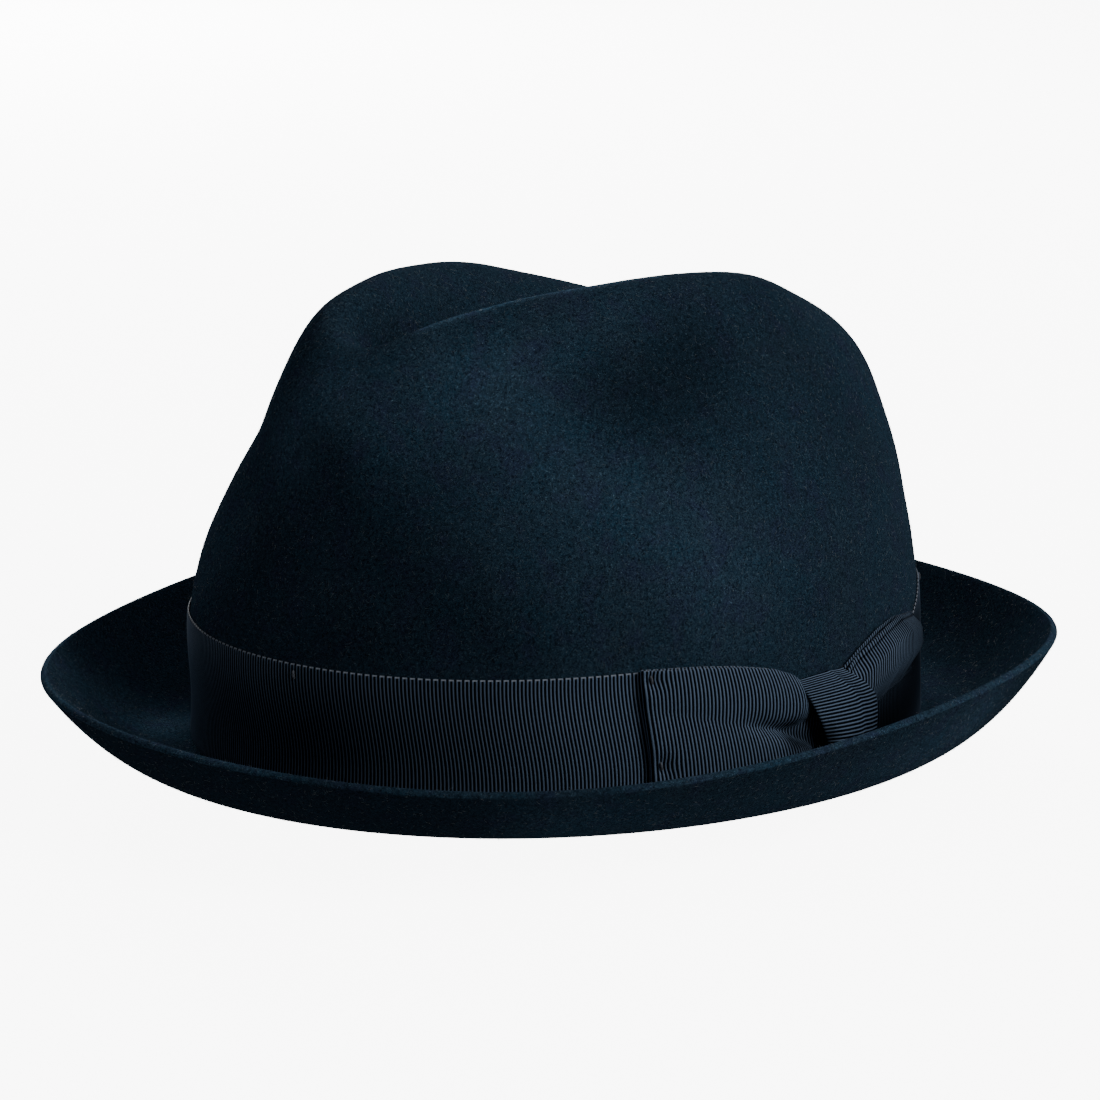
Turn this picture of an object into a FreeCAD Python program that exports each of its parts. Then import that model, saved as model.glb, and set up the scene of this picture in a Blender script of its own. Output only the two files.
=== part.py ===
"""Fedora hat with a creased crown, a turned-up brim, a grosgrain band and a flat side bow.

Frame: millimetres, +Z up. The origin lies on the plane that the brim rests on, below the centre of
the brim's outline. The front of the hat is -Y and the wearer's left, where the bow sits, is +X.
Angles round the hat start at the front and grow towards the wearer's left. Every piece is modelled
round the centre of the head oval, and its Placement sets it back to the middle of the brim.
"""

import FreeCAD, Part
import math
import os

from FreeCAD import Placement, Rotation, Vector

DRIVING_DIMENSIONS = {
    "felt_thickness": 2.2,
    "head_half_width": 87.5,
    "head_half_length": 103.5,
    "head_setback": 1.65,
    "crown_height": 118.0,
    "brim_reach_side": 33.0,
    "brim_reach_front": 39.3,
    "brim_reach_back": 36.0,
    "brim_flat": 7.0,
    "brim_rise": 20.9,
    "flex_line": 108.0,
    "flex_gap": 0.4,
    "ribbon_width": 35.0,
    "ribbon_thickness": 0.6,
    "band_lower_edge": 2.6,
    "bow_angle": 100.5,
    "sweatband_foot": 2.7,
    "sweatband_height": 35.0,
    "sweatband_thickness": 0.9,
    "sweatband_half_width": 84.2,
    "sweatband_half_length": 100.2,
    "sweatband_lean": 5.0,
    "reed_radius": 0.8,
    "reed_inset": 0.5,
    "reed_level": 1.3,
    "cover_slack": 0.15,
    "cover_radius": 1.2,
    "lining_thickness": 0.5,
    "lining_gap": 1.2,
    "lining_slack": 9.0,
    "lining_lower_edge": 31.0,
    "piping_radius": 0.7,
    "thread_radius": 0.3,
    "label_width": 24.0,
    "label_height": 14.0,
    "label_thickness": 0.3,
}

# The crown is a stack of rings, from the brim up to the crest and down into the crease. As shares of
# the head's half width, its half length and the crown's height, a ring holds: half width, front
# reach, back reach, height, rise towards the front, rise along the middle line, depth of the front
# dents, and how far the ring takes part in the crown's lean.
CROWN_RINGS = (
    (1.000, 1.000, 1.000, 0.019, 0.000, 0.000, 0.00, 0.00),
    (0.996, 0.996, 0.996, 0.127, 0.000, 0.000, 0.00, 0.00),
    (0.957, 1.018, 1.002, 0.314, 0.000, 0.000, 0.01, 0.00),
    (0.936, 0.925, 0.940, 0.538, 0.000, 0.000, 0.03, 0.00),
    (0.842, 0.854, 0.894, 0.714, 0.000, 0.000, 0.21, 0.15),
    (0.647, 0.830, 0.770, 0.889, -0.013, -0.032, 0.22, 0.60),
    (0.417, 0.713, 0.608, 0.996, 0.059, -0.055, 0.25, 1.00),
    (0.229, 0.613, 0.510, 0.925, 0.043, -0.038, 0.25, 0.55),
    (0.040, 0.440, 0.350, 0.800, 0.000, 0.000, 0.00, 0.00),
)
CREST_RING = 6
RING_SPACING_POWER = 0.7

# The two front dents lie either side of the front. The worn crown leans a little towards the
# wearer's left, and its crest dips where the crease opens at the front.
DENT_ANGLE = 41.8
DENT_SPREAD = 24.0
LEAN_SIDE = 4.2
LEAN_TWIST = -3.9
LEAN_SHIFT = 1.4
FRONT_DIP = 5.3
FRONT_DIP_ANGLE = 7.8
FRONT_DIP_SPREAD = 28.0

# The brim's edge height round the hat, as shares of the brim's rise, and the curl of its section.
EDGE_FRONT_TO_BACK = -0.078
EDGE_LENGTHWISE = -0.065
EDGE_FRONT_QUARTERS = 0.139
CURL_POWER = 2.05

BLOCK_REACH = 200.0
CLEARANCE = 0.15
RIBBON_CLEARANCE = 0.15
BAND_TACK_ANGLES = (15, 150, 210, 300)
BAND_TACK_BELOW_EDGE = 2.5
BOW_TACK_ARC = 53.5
BOW_TACK_HEIGHTS = (35.5, 14.0)
TACK_LENGTH = 2.0
WING_ROOT_THICKNESS = 2.8
WING_END_THICKNESS = 1.8
UPRIGHT_POINTS = 5
COVER_MOUTH = 0.6
COVER_POINTS = 9
SWEATBAND_STITCHES = 120
STITCH_LENGTH = 2.6
STITCH_HEIGHT = 5.0
BACK_BOW_LOOP = 12.0
BACK_BOW_WAIST = 2.0
BACK_BOW_KNOT = 2.5
BACK_BOW_HEIGHT = 14.0
BACK_BOW_CLEARANCE = 1.6
LABEL_HEIGHT = 24.0
LABEL_CLEARANCE = 1.0
LINING_SEAM_BELOW_CREST = 0.06
LINING_SEAM_GAP = 0.03
HANG_POWER = 2.5
HANG_MIDDLE = 0.1
HANG_RINGS = 10

ANGLES_ROUND = 72
CROWN_LAYERS = 30
BRIM_LAYERS = 9
STEP = 1e-3

doc = FreeCAD.newDocument("fedora_hat")
sheet = doc.addObject("Spreadsheet::Sheet", "dimensions")
for row, (name, value) in enumerate(DRIVING_DIMENSIONS.items(), start=1):
    sheet.set(f"A{row}", name)
    sheet.set(f"B{row}", str(value))
    sheet.setAlias(f"B{row}", name)
doc.recompute()


def size(name):
    return float(sheet.get(name))


def bind(thing, **properties):
    """Tie properties to expressions over the sheet. Double underscores stand for dots."""
    for name, expression in properties.items():
        thing.setExpression(name.replace("__", "."), expression)


def place_on_head(thing):
    """Move a piece from the centre of the head oval to its place on the brim."""
    thing.Placement = Placement(Vector(0, size("head_setback"), 0), Rotation())
    thing.setExpression("Placement.Base.y", "dimensions.head_setback")


# ------------------------------------------------------------------ surfaces of the crown and brim


def ring_curves():
    """Three smooth curves that carry the ring table's columns from the first ring to the last."""
    width, length, height = size("head_half_width"), size("head_half_length"), size("crown_height")
    reaches, rises, shapes = [], [], []
    for half, front, back, level, rise, middle, dent, lean in CROWN_RINGS:
        reaches.append(Vector(half * width, front * length, back * length))
        rises.append(Vector(level * height, rise * height, middle * height))
        shapes.append(Vector(half * width * dent, lean, level))
    places = [0.0]
    for index in range(1, len(CROWN_RINGS)):
        sideways = reaches[index] - reaches[index - 1]
        upwards = rises[index].x - rises[index - 1].x
        gap = math.sqrt((sideways.x**2 + sideways.y**2) / 2 + upwards**2)
        places.append(places[-1] + gap**RING_SPACING_POWER)
    places = [place / places[-1] for place in places]
    curves = []
    for points in (reaches, rises, shapes):
        curve = Part.BSplineCurve()
        curve.interpolate(Points=points, Parameters=places)
        curves.append(curve)
    return curves, places


CURVES, RING_PLACES = ring_curves()


def crown_surface(place, angle):
    """A point of the felt's outer face: place 0 is the brim, 1 is the bottom of the crease."""
    reaches, rises, shapes = (curve.value(place) for curve in CURVES)
    sine, cosine = math.sin(angle), math.cos(angle)
    turn = math.degrees(math.atan2(sine, cosine))
    bump = math.exp(-(((abs(turn) - DENT_ANGLE) / DENT_SPREAD) ** 2))
    reach = reaches.y if cosine > 0 else reaches.z
    lean = min(max(shapes.y, 0.0), 1.0)
    x = (reaches.x - shapes.x * bump) * sine + LEAN_SHIFT * lean
    z = rises.x + rises.y * cosine + rises.z * math.cos(2 * angle)
    dip = FRONT_DIP * math.exp(-(((turn - FRONT_DIP_ANGLE) / FRONT_DIP_SPREAD) ** 2))
    z += lean * (LEAN_SIDE * sine + LEAN_TWIST * math.sin(2 * angle) - dip)
    return Vector(x, -reach * cosine, z)


def lifted(surface, place, angle, lift):
    """A point at a distance from a surface: outwards from the crown, downwards from the brim."""
    low, high = max(place - STEP, 0.0), min(place + STEP, 1.0)
    along = surface(high, angle) - surface(low, angle)
    around = surface(place, angle + STEP) - surface(place, angle - STEP)
    normal = around.cross(along)
    normal.normalize()
    return surface(place, angle) + normal * lift


def brim_surface(share, angle):
    """A point of the brim's top face: share 0 is where the flat ring ends, 1 is the raw edge."""
    width, length = size("head_half_width"), size("head_half_length")
    sine, cosine = math.sin(angle), math.cos(angle)
    fore_aft = size("brim_reach_front") if cosine > 0 else size("brim_reach_back")
    reach = size("brim_reach_side") * sine**2 + fore_aft * cosine**2
    outward = Vector(sine / width, -cosine / length, 0)
    outward.normalize()
    distance = size("brim_flat") + (reach - size("brim_flat")) * share
    shape = 1 + EDGE_FRONT_TO_BACK * cosine + EDGE_LENGTHWISE * math.cos(2 * angle)
    shape += EDGE_FRONT_QUARTERS * math.cos(3 * angle)
    rise = size("brim_rise") * shape * share**CURL_POWER
    return Vector(width * sine, -length * cosine, size("felt_thickness") + rise) + outward * distance


def place_at_height(height):
    """The place up the wall of the crown at which its outer face reaches a height."""
    low, high = 0.0, RING_PLACES[CREST_RING - 2]
    for _ in range(40):
        middle = (low + high) / 2
        if CURVES[1].value(middle).x < height:
            low = middle
        else:
            high = middle
    return (low + high) / 2


# ------------------------------------------------------------------ building blocks


def angles_round():
    """Even angles all the way round, starting at the back so that every seam lies there."""
    return [math.pi + 2 * math.pi * index / ANGLES_ROUND for index in range(ANGLES_ROUND)]


def ring_wire(points):
    curve = Part.BSplineCurve()
    curve.interpolate(Points=points, PeriodicFlag=True)
    return Part.Wire([curve.toShape()])


def surface_ring(surface, place, lift=0.0):
    return ring_wire([lifted(surface, place, angle, lift) for angle in angles_round()])


def level_ring(surface, drop=0.0):
    """The first ring of a surface that starts level, dropped by a distance."""
    return ring_wire([surface(0.0, angle) - Vector(0, 0, drop) for angle in angles_round()])


def oval_ring(half_width, half_length, height, shift=Vector()):
    points = []
    for angle in angles_round():
        points.append(Vector(half_width * math.sin(angle), -half_length * math.cos(angle), height) + shift)
    return ring_wire(points)


def steps_between(low, high, count):
    return [low + (high - low) * index / (count - 1) for index in range(count)]


def skin(wires):
    return Part.makeLoft(wires, False, len(wires) == 2)


def flat_ring(outer, inner):
    return Part.makeFace([outer, inner], "Part::FaceMakerBullseye")


def closed_solid(skins):
    """Sew skins that share their edges into one solid that points outwards."""
    sewn = Part.makeCompound(skins)
    sewn.sewShape()
    solid = Part.makeSolid(sewn.Shells[0])
    if solid.Volume < 0:
        solid.reverse()
    return solid


def shape_piece(label, shape):
    piece = doc.addObject("Part::Feature", label)
    piece.Shape = shape
    piece.Label = label
    place_on_head(piece)
    return piece


def crown_layer(low, high, outer_lift, inner_lift):
    """A closed sheet that follows the crown between two places, such as the band or the lining."""
    count = max(6, round(CROWN_LAYERS * (high - low)))
    places = steps_between(low, high, count)
    outer = [surface_ring(crown_surface, place, outer_lift) for place in places]
    inner = [surface_ring(crown_surface, place, inner_lift) for place in places]
    ends = [skin([outer[0], inner[0]]), skin([outer[-1], inner[-1]])]
    return closed_solid([skin(outer), skin(inner)] + ends)


# ------------------------------------------------------------------ felt


def crease_floor(lift, drop):
    """The flat oval at the bottom of the crease, widened by lift and lowered by drop."""
    floor = CURVES[0].value(1.0)
    half_length = (floor.y + floor.z) / 2 + lift
    shift = Vector(0, (floor.z - floor.y) / 2, 0)
    return oval_ring(floor.x + lift, half_length, CURVES[1].value(1.0).x - drop, shift)


def felt_blank():
    """The whole felt body before the front of the brim is parted from it."""
    felt = size("felt_thickness")
    width, length = size("head_half_width"), size("head_half_length")
    places = steps_between(0.0, 1.0, CROWN_LAYERS)
    outer = [oval_ring(width, length, felt)]
    outer += [surface_ring(crown_surface, place) for place in places[1:-1]] + [crease_floor(0, 0)]
    inner = [oval_ring(width - felt, length - felt, 0.0)]
    inner += [surface_ring(crown_surface, place, -felt) for place in places[1:-1]]
    inner += [crease_floor(felt, felt)]
    shares = steps_between(0.0, 1.0, BRIM_LAYERS)
    top = [level_ring(brim_surface)]
    top += [surface_ring(brim_surface, share) for share in shares[1:]]
    under = [level_ring(brim_surface, felt)]
    under += [surface_ring(brim_surface, share, felt) for share in shares[1:]]
    skins = [skin(outer), skin(inner), skin(top), skin(under), skin([top[-1], under[-1]])]
    skins += [flat_ring(top[0], outer[0]), flat_ring(under[0], inner[0])]
    skins += [Part.Face(outer[-1]), Part.Face(inner[-1])]
    return closed_solid(skins)


def ahead_of(distance):
    """A block that holds everything further forward than a distance from the origin."""
    corner = Vector(-BLOCK_REACH, -distance - size("head_setback") - BLOCK_REACH, -BLOCK_REACH)
    return Part.makeBox(2 * BLOCK_REACH, BLOCK_REACH, 2 * BLOCK_REACH, corner)


def add_felt():
    """The felt is one piece in the hat, parted here along the line where the front brim flexes."""
    blank = felt_blank()
    crown = blank.cut(ahead_of(size("flex_line")))
    front = blank.common(ahead_of(size("flex_line") + size("flex_gap")))
    return [shape_piece("crown_and_rear_brim", crown), shape_piece("front_brim", front)]


# ------------------------------------------------------------------ ribbon band and bow


def add_band():
    inner, outer = RIBBON_CLEARANCE, RIBBON_CLEARANCE + size("ribbon_thickness")
    low = place_at_height(size("band_lower_edge"))
    high = place_at_height(size("band_lower_edge") + size("ribbon_width"))
    return shape_piece("hat_band", crown_layer(low, high, outer, inner))


def wall_point(angle, height, lift):
    """A point beside the wall of the crown, outside its outer face by lift."""
    return lifted(crown_surface, place_at_height(height), angle, lift)


def angle_along_band(arc):
    """The angle at a distance along the band from the middle of the bow, forwards if positive."""
    angle = math.radians(size("bow_angle"))
    stride = math.copysign(1.0, arc)
    height = size("band_lower_edge") + size("ribbon_width") / 2
    for _ in range(round(abs(arc))):
        here = wall_point(angle, height, 1.0)
        radius = (wall_point(angle + STEP, height, 1.0) - here).Length / STEP
        angle -= stride / radius
    return angle


def upright_curve(angle, low, high, lift):
    """A curve up the wall of the crown between two heights, outside the felt by lift."""
    heights = steps_between(low, high, UPRIGHT_POINTS)
    curve = Part.BSplineCurve()
    curve.interpolate(Points=[wall_point(angle, height, lift) for height in heights])
    return curve


def bow_section(arc, low, high, back, front):
    """A closed section across a folded ribbon, and its back and front edges."""
    angle = angle_along_band(arc)
    behind = upright_curve(angle, low, high, back)
    ahead = upright_curve(angle, low, high, front)
    top = Part.LineSegment(behind.EndPoint, ahead.EndPoint)
    bottom = Part.LineSegment(ahead.StartPoint, behind.StartPoint)
    ahead_edge = ahead.toShape()
    wire = Part.Wire([behind.toShape(), top.toShape(), ahead_edge.reversed(), bottom.toShape()])
    return wire, behind.toShape(), ahead_edge


def bow_panel(label, stations, stand_off):
    """A folded piece of ribbon that starts at a distance from the felt and follows the band.

    Each station holds the distance along the band, the lower and upper edge, and the thickness.
    """
    sections = []
    for arc, low, high, thickness in stations:
        sections.append(bow_section(arc, low, high, stand_off, stand_off + thickness))
    wall = skin([section[0] for section in sections])
    ends = [Part.makeRuledSurface(sections[i][1], sections[i][2]) for i in (0, -1)]
    return shape_piece(label, closed_solid([wall] + ends))


def add_bow():
    """Two flat wings of folded ribbon, and the strip that is wrapped slantwise round their middle."""
    on_band = RIBBON_CLEARANCE + size("ribbon_thickness") + CLEARANCE
    low = size("band_lower_edge") + 1
    high = size("band_lower_edge") + size("ribbon_width") + 0.4
    front_wing = (
        (56, low, high, 1.6),
        (48, low, high - 0.2, 2.2),
        (36, low, high - 1, 2.6),
        (24, low + 1, high - 3, 3.0),
        (14, low + 5, high - 6, 2.4),
        (5, low + 9, high - 12, 1.8),
    )
    rear_wing = (
        (-5, low + 9, high - 12, 1.8),
        (-14, low + 9, high - 7, 2.4),
        (-24, low + 10, high - 3, 3.4),
        (-36, low + 12, high - 1.6, 3.8),
        (-50, low + 14, high - 3.5, 2.8),
    )
    knot = (
        (11.5, 15, 31, 1.2),
        (7, 9, 31, 2.4),
        (0, 5, 31, 2.8),
        (-7, 4, 30, 2.4),
        (-14, 4, 23, 1.2),
    )
    over_wings = on_band + WING_ROOT_THICKNESS + CLEARANCE
    return [
        bow_panel("bow_front_wing", front_wing, on_band),
        bow_panel("bow_rear_wing", rear_wing, on_band),
        bow_panel("bow_knot", knot, over_wings),
    ]


# ------------------------------------------------------------------ thread


def stitch(middle, along, length):
    """A straight stitch of thread."""
    direction = Vector(along)
    direction.normalize()
    start = middle - direction * (length / 2)
    return Part.makeCylinder(size("thread_radius"), length, start, direction)


def tack(angle, height, lift):
    """An upright stitch that lies on a ribbon at a distance from the felt."""
    middle = wall_point(angle, height, lift + size("thread_radius") + CLEARANCE)
    return stitch(middle, Vector(0, 0, 1), TACK_LENGTH)


def add_tacks():
    on_band = RIBBON_CLEARANCE + size("ribbon_thickness")
    level = size("band_lower_edge") + size("ribbon_width") - BAND_TACK_BELOW_EDGE
    band_tacks = [tack(math.radians(turn), level, on_band) for turn in BAND_TACK_ANGLES]
    corner = angle_along_band(BOW_TACK_ARC)
    on_wing = on_band + CLEARANCE + WING_END_THICKNESS
    bow_tacks = [tack(corner, height, on_wing) for height in BOW_TACK_HEIGHTS]
    return [
        shape_piece("band_tacks", Part.makeCompound(band_tacks)),
        shape_piece("bow_tacks", Part.makeCompound(bow_tacks)),
    ]


# ------------------------------------------------------------------ sweatband


def oval(label, half_width, half_length, height):
    """An oval round the head opening, bound to the sheet."""
    shape = doc.addObject("Part::Ellipse", label)
    shape.Placement.Rotation = Rotation(Vector(0, 0, 1), 90)
    bind(shape, MajorRadius=half_length, MinorRadius=half_width, Placement__Base__z=height)
    return shape


def oval_loft(label, inset):
    """The solid between the sweatband's lower and upper oval, both drawn in by inset."""
    wide, long = "dimensions.sweatband_half_width", "dimensions.sweatband_half_length"
    lean = "dimensions.sweatband_lean"
    foot = "dimensions.sweatband_foot"
    top = f"{foot} + dimensions.sweatband_height"
    loft = doc.addObject("Part::Loft", label)
    loft.Sections = [
        oval(f"{label}_foot", f"{wide} - {inset}", f"{long} - {inset}", foot),
        oval(f"{label}_top", f"{wide} - {lean} - {inset}", f"{long} - {lean} - {inset}", top),
    ]
    loft.Solid = True
    loft.Ruled = True
    return loft


def add_sweatband():
    band = doc.addObject("Part::Cut", "sweatband")
    band.Base = oval_loft("sweatband_outside", "0")
    band.Tool = oval_loft("sweatband_inside", "dimensions.sweatband_thickness")
    place_on_head(band)
    return band


def oval_tube(label, radius, spine):
    section = doc.addObject("Part::Circle", f"{label}_section")
    section.Placement = Placement(Vector(), Rotation(Vector(1, 0, 0), 90))
    across = "dimensions.sweatband_half_width - dimensions.reed_inset"
    bind(section, Radius=radius, Placement__Base__x=across, Placement__Base__z="dimensions.reed_level")
    tube = doc.addObject("Part::Sweep", label)
    tube.Sections = [section]
    tube.Spine = (spine, ["Edge1"])
    tube.Solid = True
    tube.Frenet = True
    return tube


def tape_round_reed():
    """A folded tape round the reed, with its open side towards the head."""
    half_width = size("sweatband_half_width") - size("reed_inset")
    half_length = size("sweatband_half_length") - size("reed_inset")
    skins, ends = [], []
    for radius in (size("cover_radius"), size("reed_radius") + size("cover_slack")):
        rings = []
        for turn in steps_between(math.pi - COVER_MOUTH, COVER_MOUTH - math.pi, COVER_POINTS):
            outward, upward = radius * math.cos(turn), radius * math.sin(turn)
            level = size("reed_level") + upward
            rings.append(oval_ring(half_width + outward, half_length + outward, level))
        skins.append(skin(rings))
        ends.append((rings[0], rings[-1]))
    skins += [skin([ends[0][i], ends[1][i]]) for i in (0, 1)]
    return closed_solid(skins)


def add_reed():
    """The reed at the foot of the sweatband, and the tape round it, open along the inside."""
    wide = "dimensions.sweatband_half_width - dimensions.reed_inset"
    long = "dimensions.sweatband_half_length - dimensions.reed_inset"
    spine = oval("reed_spine", wide, long, "dimensions.reed_level")
    reed = oval_tube("sweatband_reed", "dimensions.reed_radius", spine)
    place_on_head(reed)
    cover = shape_piece("reed_cover", tape_round_reed())
    return [reed, cover]


def inside_point(angle, height, inset):
    """A point on the sweatband's inner face, further in by inset."""
    above_foot = height - size("sweatband_foot")
    drawn_in = size("sweatband_lean") * above_foot / size("sweatband_height")
    drawn_in += size("sweatband_thickness") + inset
    half_width = size("sweatband_half_width") - drawn_in
    half_length = size("sweatband_half_length") - drawn_in
    return Vector(half_width * math.sin(angle), -half_length * math.cos(angle), height)


def add_sweatband_stitching():
    stitches = []
    for index in range(SWEATBAND_STITCHES):
        angle = 2 * math.pi * (index + 0.5) / SWEATBAND_STITCHES
        middle = inside_point(angle, STITCH_HEIGHT, size("thread_radius") + 2 * CLEARANCE)
        ahead = inside_point(angle + STEP, STITCH_HEIGHT, size("thread_radius") + 2 * CLEARANCE)
        stitches.append(stitch(middle, ahead - middle, STITCH_LENGTH))
    return shape_piece("sweatband_stitching", Part.makeCompound(stitches))


def origin_plane(body, role):
    return next(plane for plane in body.Origin.OriginFeatures if plane.Role == role)


def flat_body(label, outline, thickness):
    """A body padded from a closed outline drawn on its own front plane."""
    body = doc.addObject("PartDesign::Body", label)
    sketch = body.newObject("Sketcher::SketchObject", f"{label}_outline")
    sketch.AttachmentSupport = [(origin_plane(body, "XZ_Plane"), "")]
    sketch.MapMode = "FlatFace"
    corners = [Vector(x, y, 0) for x, y in outline]
    for start, end in zip(corners, corners[1:] + corners[:1]):
        sketch.addGeometry(Part.LineSegment(start, end))
    doc.recompute()
    pad = body.newObject("PartDesign::Pad", f"{label}_pad")
    pad.Profile = sketch
    pad.setExpression("Length", thickness)
    body.Tip = pad
    doc.recompute()
    return body


def add_sweatband_bow():
    """A small ribbon bow over the back seam: two loops that narrow into a knot."""
    loop, waist, knot = BACK_BOW_LOOP, BACK_BOW_WAIST, BACK_BOW_KNOT
    right = [(knot, -waist), (loop, -waist * 2), (loop, waist * 2), (knot, waist)]
    left = [(-x, y) for x, y in reversed(right)]
    outline = right + [(knot, waist * 1.4), (-knot, waist * 1.4)] + left
    outline += [(-knot, -waist * 1.4), (knot, -waist * 1.4)]
    body = flat_body("sweatband_bow", outline, "3 * dimensions.ribbon_thickness")
    middle = inside_point(math.pi, BACK_BOW_HEIGHT, BACK_BOW_CLEARANCE)
    tilt = math.degrees(math.atan(size("sweatband_lean") / size("sweatband_height")))
    middle += Vector(0, size("head_setback"), 0)
    body.Placement = Placement(middle, Rotation(Vector(1, 0, 0), tilt))
    return body


def add_size_label():
    """A small blank label on the inner face of the sweatband, on the wearer's right."""
    half_width, half_height = size("label_width") / 2, size("label_height") / 2
    outline = [(-half_width, -half_height), (half_width, -half_height)]
    outline += [(half_width, half_height), (-half_width, half_height)]
    body = flat_body("size_label", outline, "dimensions.label_thickness")
    middle = inside_point(1.5 * math.pi, LABEL_HEIGHT, LABEL_CLEARANCE)
    middle += Vector(0, size("head_setback"), 0)
    tilt = math.degrees(math.atan(size("sweatband_lean") / size("sweatband_height")))
    turn = Rotation(Vector(0, 0, 1), 90).multiply(Rotation(Vector(1, 0, 0), tilt))
    body.Placement = Placement(middle, turn)
    return body


# ------------------------------------------------------------------ lining


def cord_round(place, depth):
    """A round cord that runs round the inside of the crown at a depth below its outer face."""

    def ring(turn):
        points = []
        for angle in angles_round():
            middle = lifted(crown_surface, place, angle, -depth)
            outward = lifted(crown_surface, place, angle, 1 - depth) - middle
            upward = crown_surface(place + STEP, angle) - crown_surface(place - STEP, angle)
            upward.normalize()
            offset = outward * math.cos(turn) + upward * math.sin(turn)
            points.append(middle + offset * size("piping_radius"))
        return ring_wire(points)

    rings = [ring(math.pi * index / 4) for index in range(8)]
    return closed_solid([skin(rings[:5]), skin(rings[4:] + rings[:1])])


def hanging_panel(start, depth):
    """A panel sewn in at a place below the crest, which hangs free under the crease."""
    level = CURVES[1].value(1.0).x - size("felt_thickness") - size("lining_slack")
    rim = [lifted(crown_surface, start, angle, -depth) for angle in angles_round()]
    skins, rims = [], []
    for below in (0.0, size("lining_thickness")):
        rings = []
        for share in steps_between(1.0, HANG_MIDDLE, HANG_RINGS)[:-1]:
            points = []
            for point in rim:
                height = level + (point.z - level) * share**HANG_POWER
                points.append(Vector(point.x * share, point.y * share, height - below))
            rings.append(ring_wire(points))
        middle = [Vector(p.x * HANG_MIDDLE, p.y * HANG_MIDDLE, level - below) for p in rim]
        rings.append(ring_wire(middle))
        skins += [skin(rings), Part.Face(rings[-1])]
        rims.append(rings[0])
    return closed_solid(skins + [skin(rims)])


def add_lining():
    """Satin inside the crown: a side wall, a corded seam below the crest, and a top panel."""
    outside = size("felt_thickness") + size("lining_gap")
    inside = outside + size("lining_thickness")
    foot = place_at_height(size("lining_lower_edge"))
    seam = RING_PLACES[CREST_RING] - LINING_SEAM_BELOW_CREST
    side = crown_layer(foot, seam - LINING_SEAM_GAP / 2, -outside, -inside)
    tip = hanging_panel(seam + LINING_SEAM_GAP / 2, outside)
    return [
        shape_piece("lining_side", side),
        shape_piece("lining_tip", tip),
        shape_piece("lining_piping", cord_round(seam, (outside + inside) / 2)),
    ]


# ------------------------------------------------------------------ build, check and export


def check_document():
    for thing in doc.Objects:
        if "Invalid" in thing.State or "Error" in thing.State:
            raise RuntimeError(f"{thing.Label} failed: {thing.State}")
    for piece in pieces:
        if piece.Shape.isNull() or not piece.Shape.isValid() or piece.Shape.Volume <= 0:
            raise RuntimeError(f"{piece.Label} has no valid solid")


pieces = add_felt() + [add_band()] + add_bow() + add_tacks()
pieces += [add_sweatband()] + add_reed() + [add_sweatband_stitching(), add_sweatband_bow()]
pieces += add_lining() + [add_size_label()]
doc.recompute()
check_document()
os.makedirs("parts", exist_ok=True)
for piece in pieces:
    piece.Shape.exportStep(os.path.join("parts", f"{piece.Label}.step"))
    print(piece.Label, len(piece.Shape.Solids), "solids", round(piece.Shape.Volume), "mm3")
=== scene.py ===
"""Fedora hat: its visible pieces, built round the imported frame.

Shapes are worked out in millimetres in the frame's axes: -Y is the front of the hat, +X the
wearer's left, where the bow sits, and +Z is up. Angles round the hat start at the front and grow
towards the wearer's left. Meshes are stored in metres.
"""

from math import copysign, cos, pi, radians, sin, sqrt

import bpy
import numpy as np
from mathutils import Matrix, Vector


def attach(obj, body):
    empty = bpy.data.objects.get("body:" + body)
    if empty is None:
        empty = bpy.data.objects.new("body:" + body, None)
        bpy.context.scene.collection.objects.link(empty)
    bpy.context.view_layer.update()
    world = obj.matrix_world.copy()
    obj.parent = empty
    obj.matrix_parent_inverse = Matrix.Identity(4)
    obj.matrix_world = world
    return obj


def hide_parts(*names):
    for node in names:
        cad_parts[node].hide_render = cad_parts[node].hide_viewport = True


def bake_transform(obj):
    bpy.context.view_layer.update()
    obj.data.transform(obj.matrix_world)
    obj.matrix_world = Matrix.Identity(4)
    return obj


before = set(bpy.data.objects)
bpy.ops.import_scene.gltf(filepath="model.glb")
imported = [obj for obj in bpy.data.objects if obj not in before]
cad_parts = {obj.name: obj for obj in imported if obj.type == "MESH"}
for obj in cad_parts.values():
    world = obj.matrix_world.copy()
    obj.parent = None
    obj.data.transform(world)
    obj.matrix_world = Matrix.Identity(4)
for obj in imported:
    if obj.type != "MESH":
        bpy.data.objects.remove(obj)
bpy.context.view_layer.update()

MM = 0.001

# ---- sizes, in millimetres

FELT = 2.2
HEAD_HALF_WIDTH = 87.5
HEAD_HALF_LENGTH = 103.5
HEAD_SETBACK = 1.65
CROWN_HEIGHT = 118.0
REACH_SIDE = 33.0
REACH_FRONT = 39.3
REACH_BACK = 36.0
BRIM_FLAT = 7.0
BRIM_RISE = 20.9
CURL_POWER = 2.05
BREAK_RADIUS = 2.0
FELT_COLUMNS = 320
EDGE_BULGE = 0.36 * FELT

RIB_PITCH = 0.99
RIB_COLUMNS = 6
BOW_ANGLE = radians(100.5)
BAND_LOW = 2.6
BAND_HIGH = 37.6
RIBBON_WIDTH = BAND_HIGH - BAND_LOW
LOOP_LENGTH = 0.35
KNOT_TOP = 29.6
KNOT_DROP = 25.8
KNOT_WIDTH = 19
KNOT_RIBS = 36
FRONT_WING = (3.6, 54.6)
REAR_WING = (-5.5, -48.0)
BAND_TACK_HEIGHT = 35.1
BAND_TACK_ANGLES = (15, -210, -150, -60)
BOW_TACK_ARC = 53.5
BOW_TACK_HEIGHTS = (35.7, 13.9)

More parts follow.
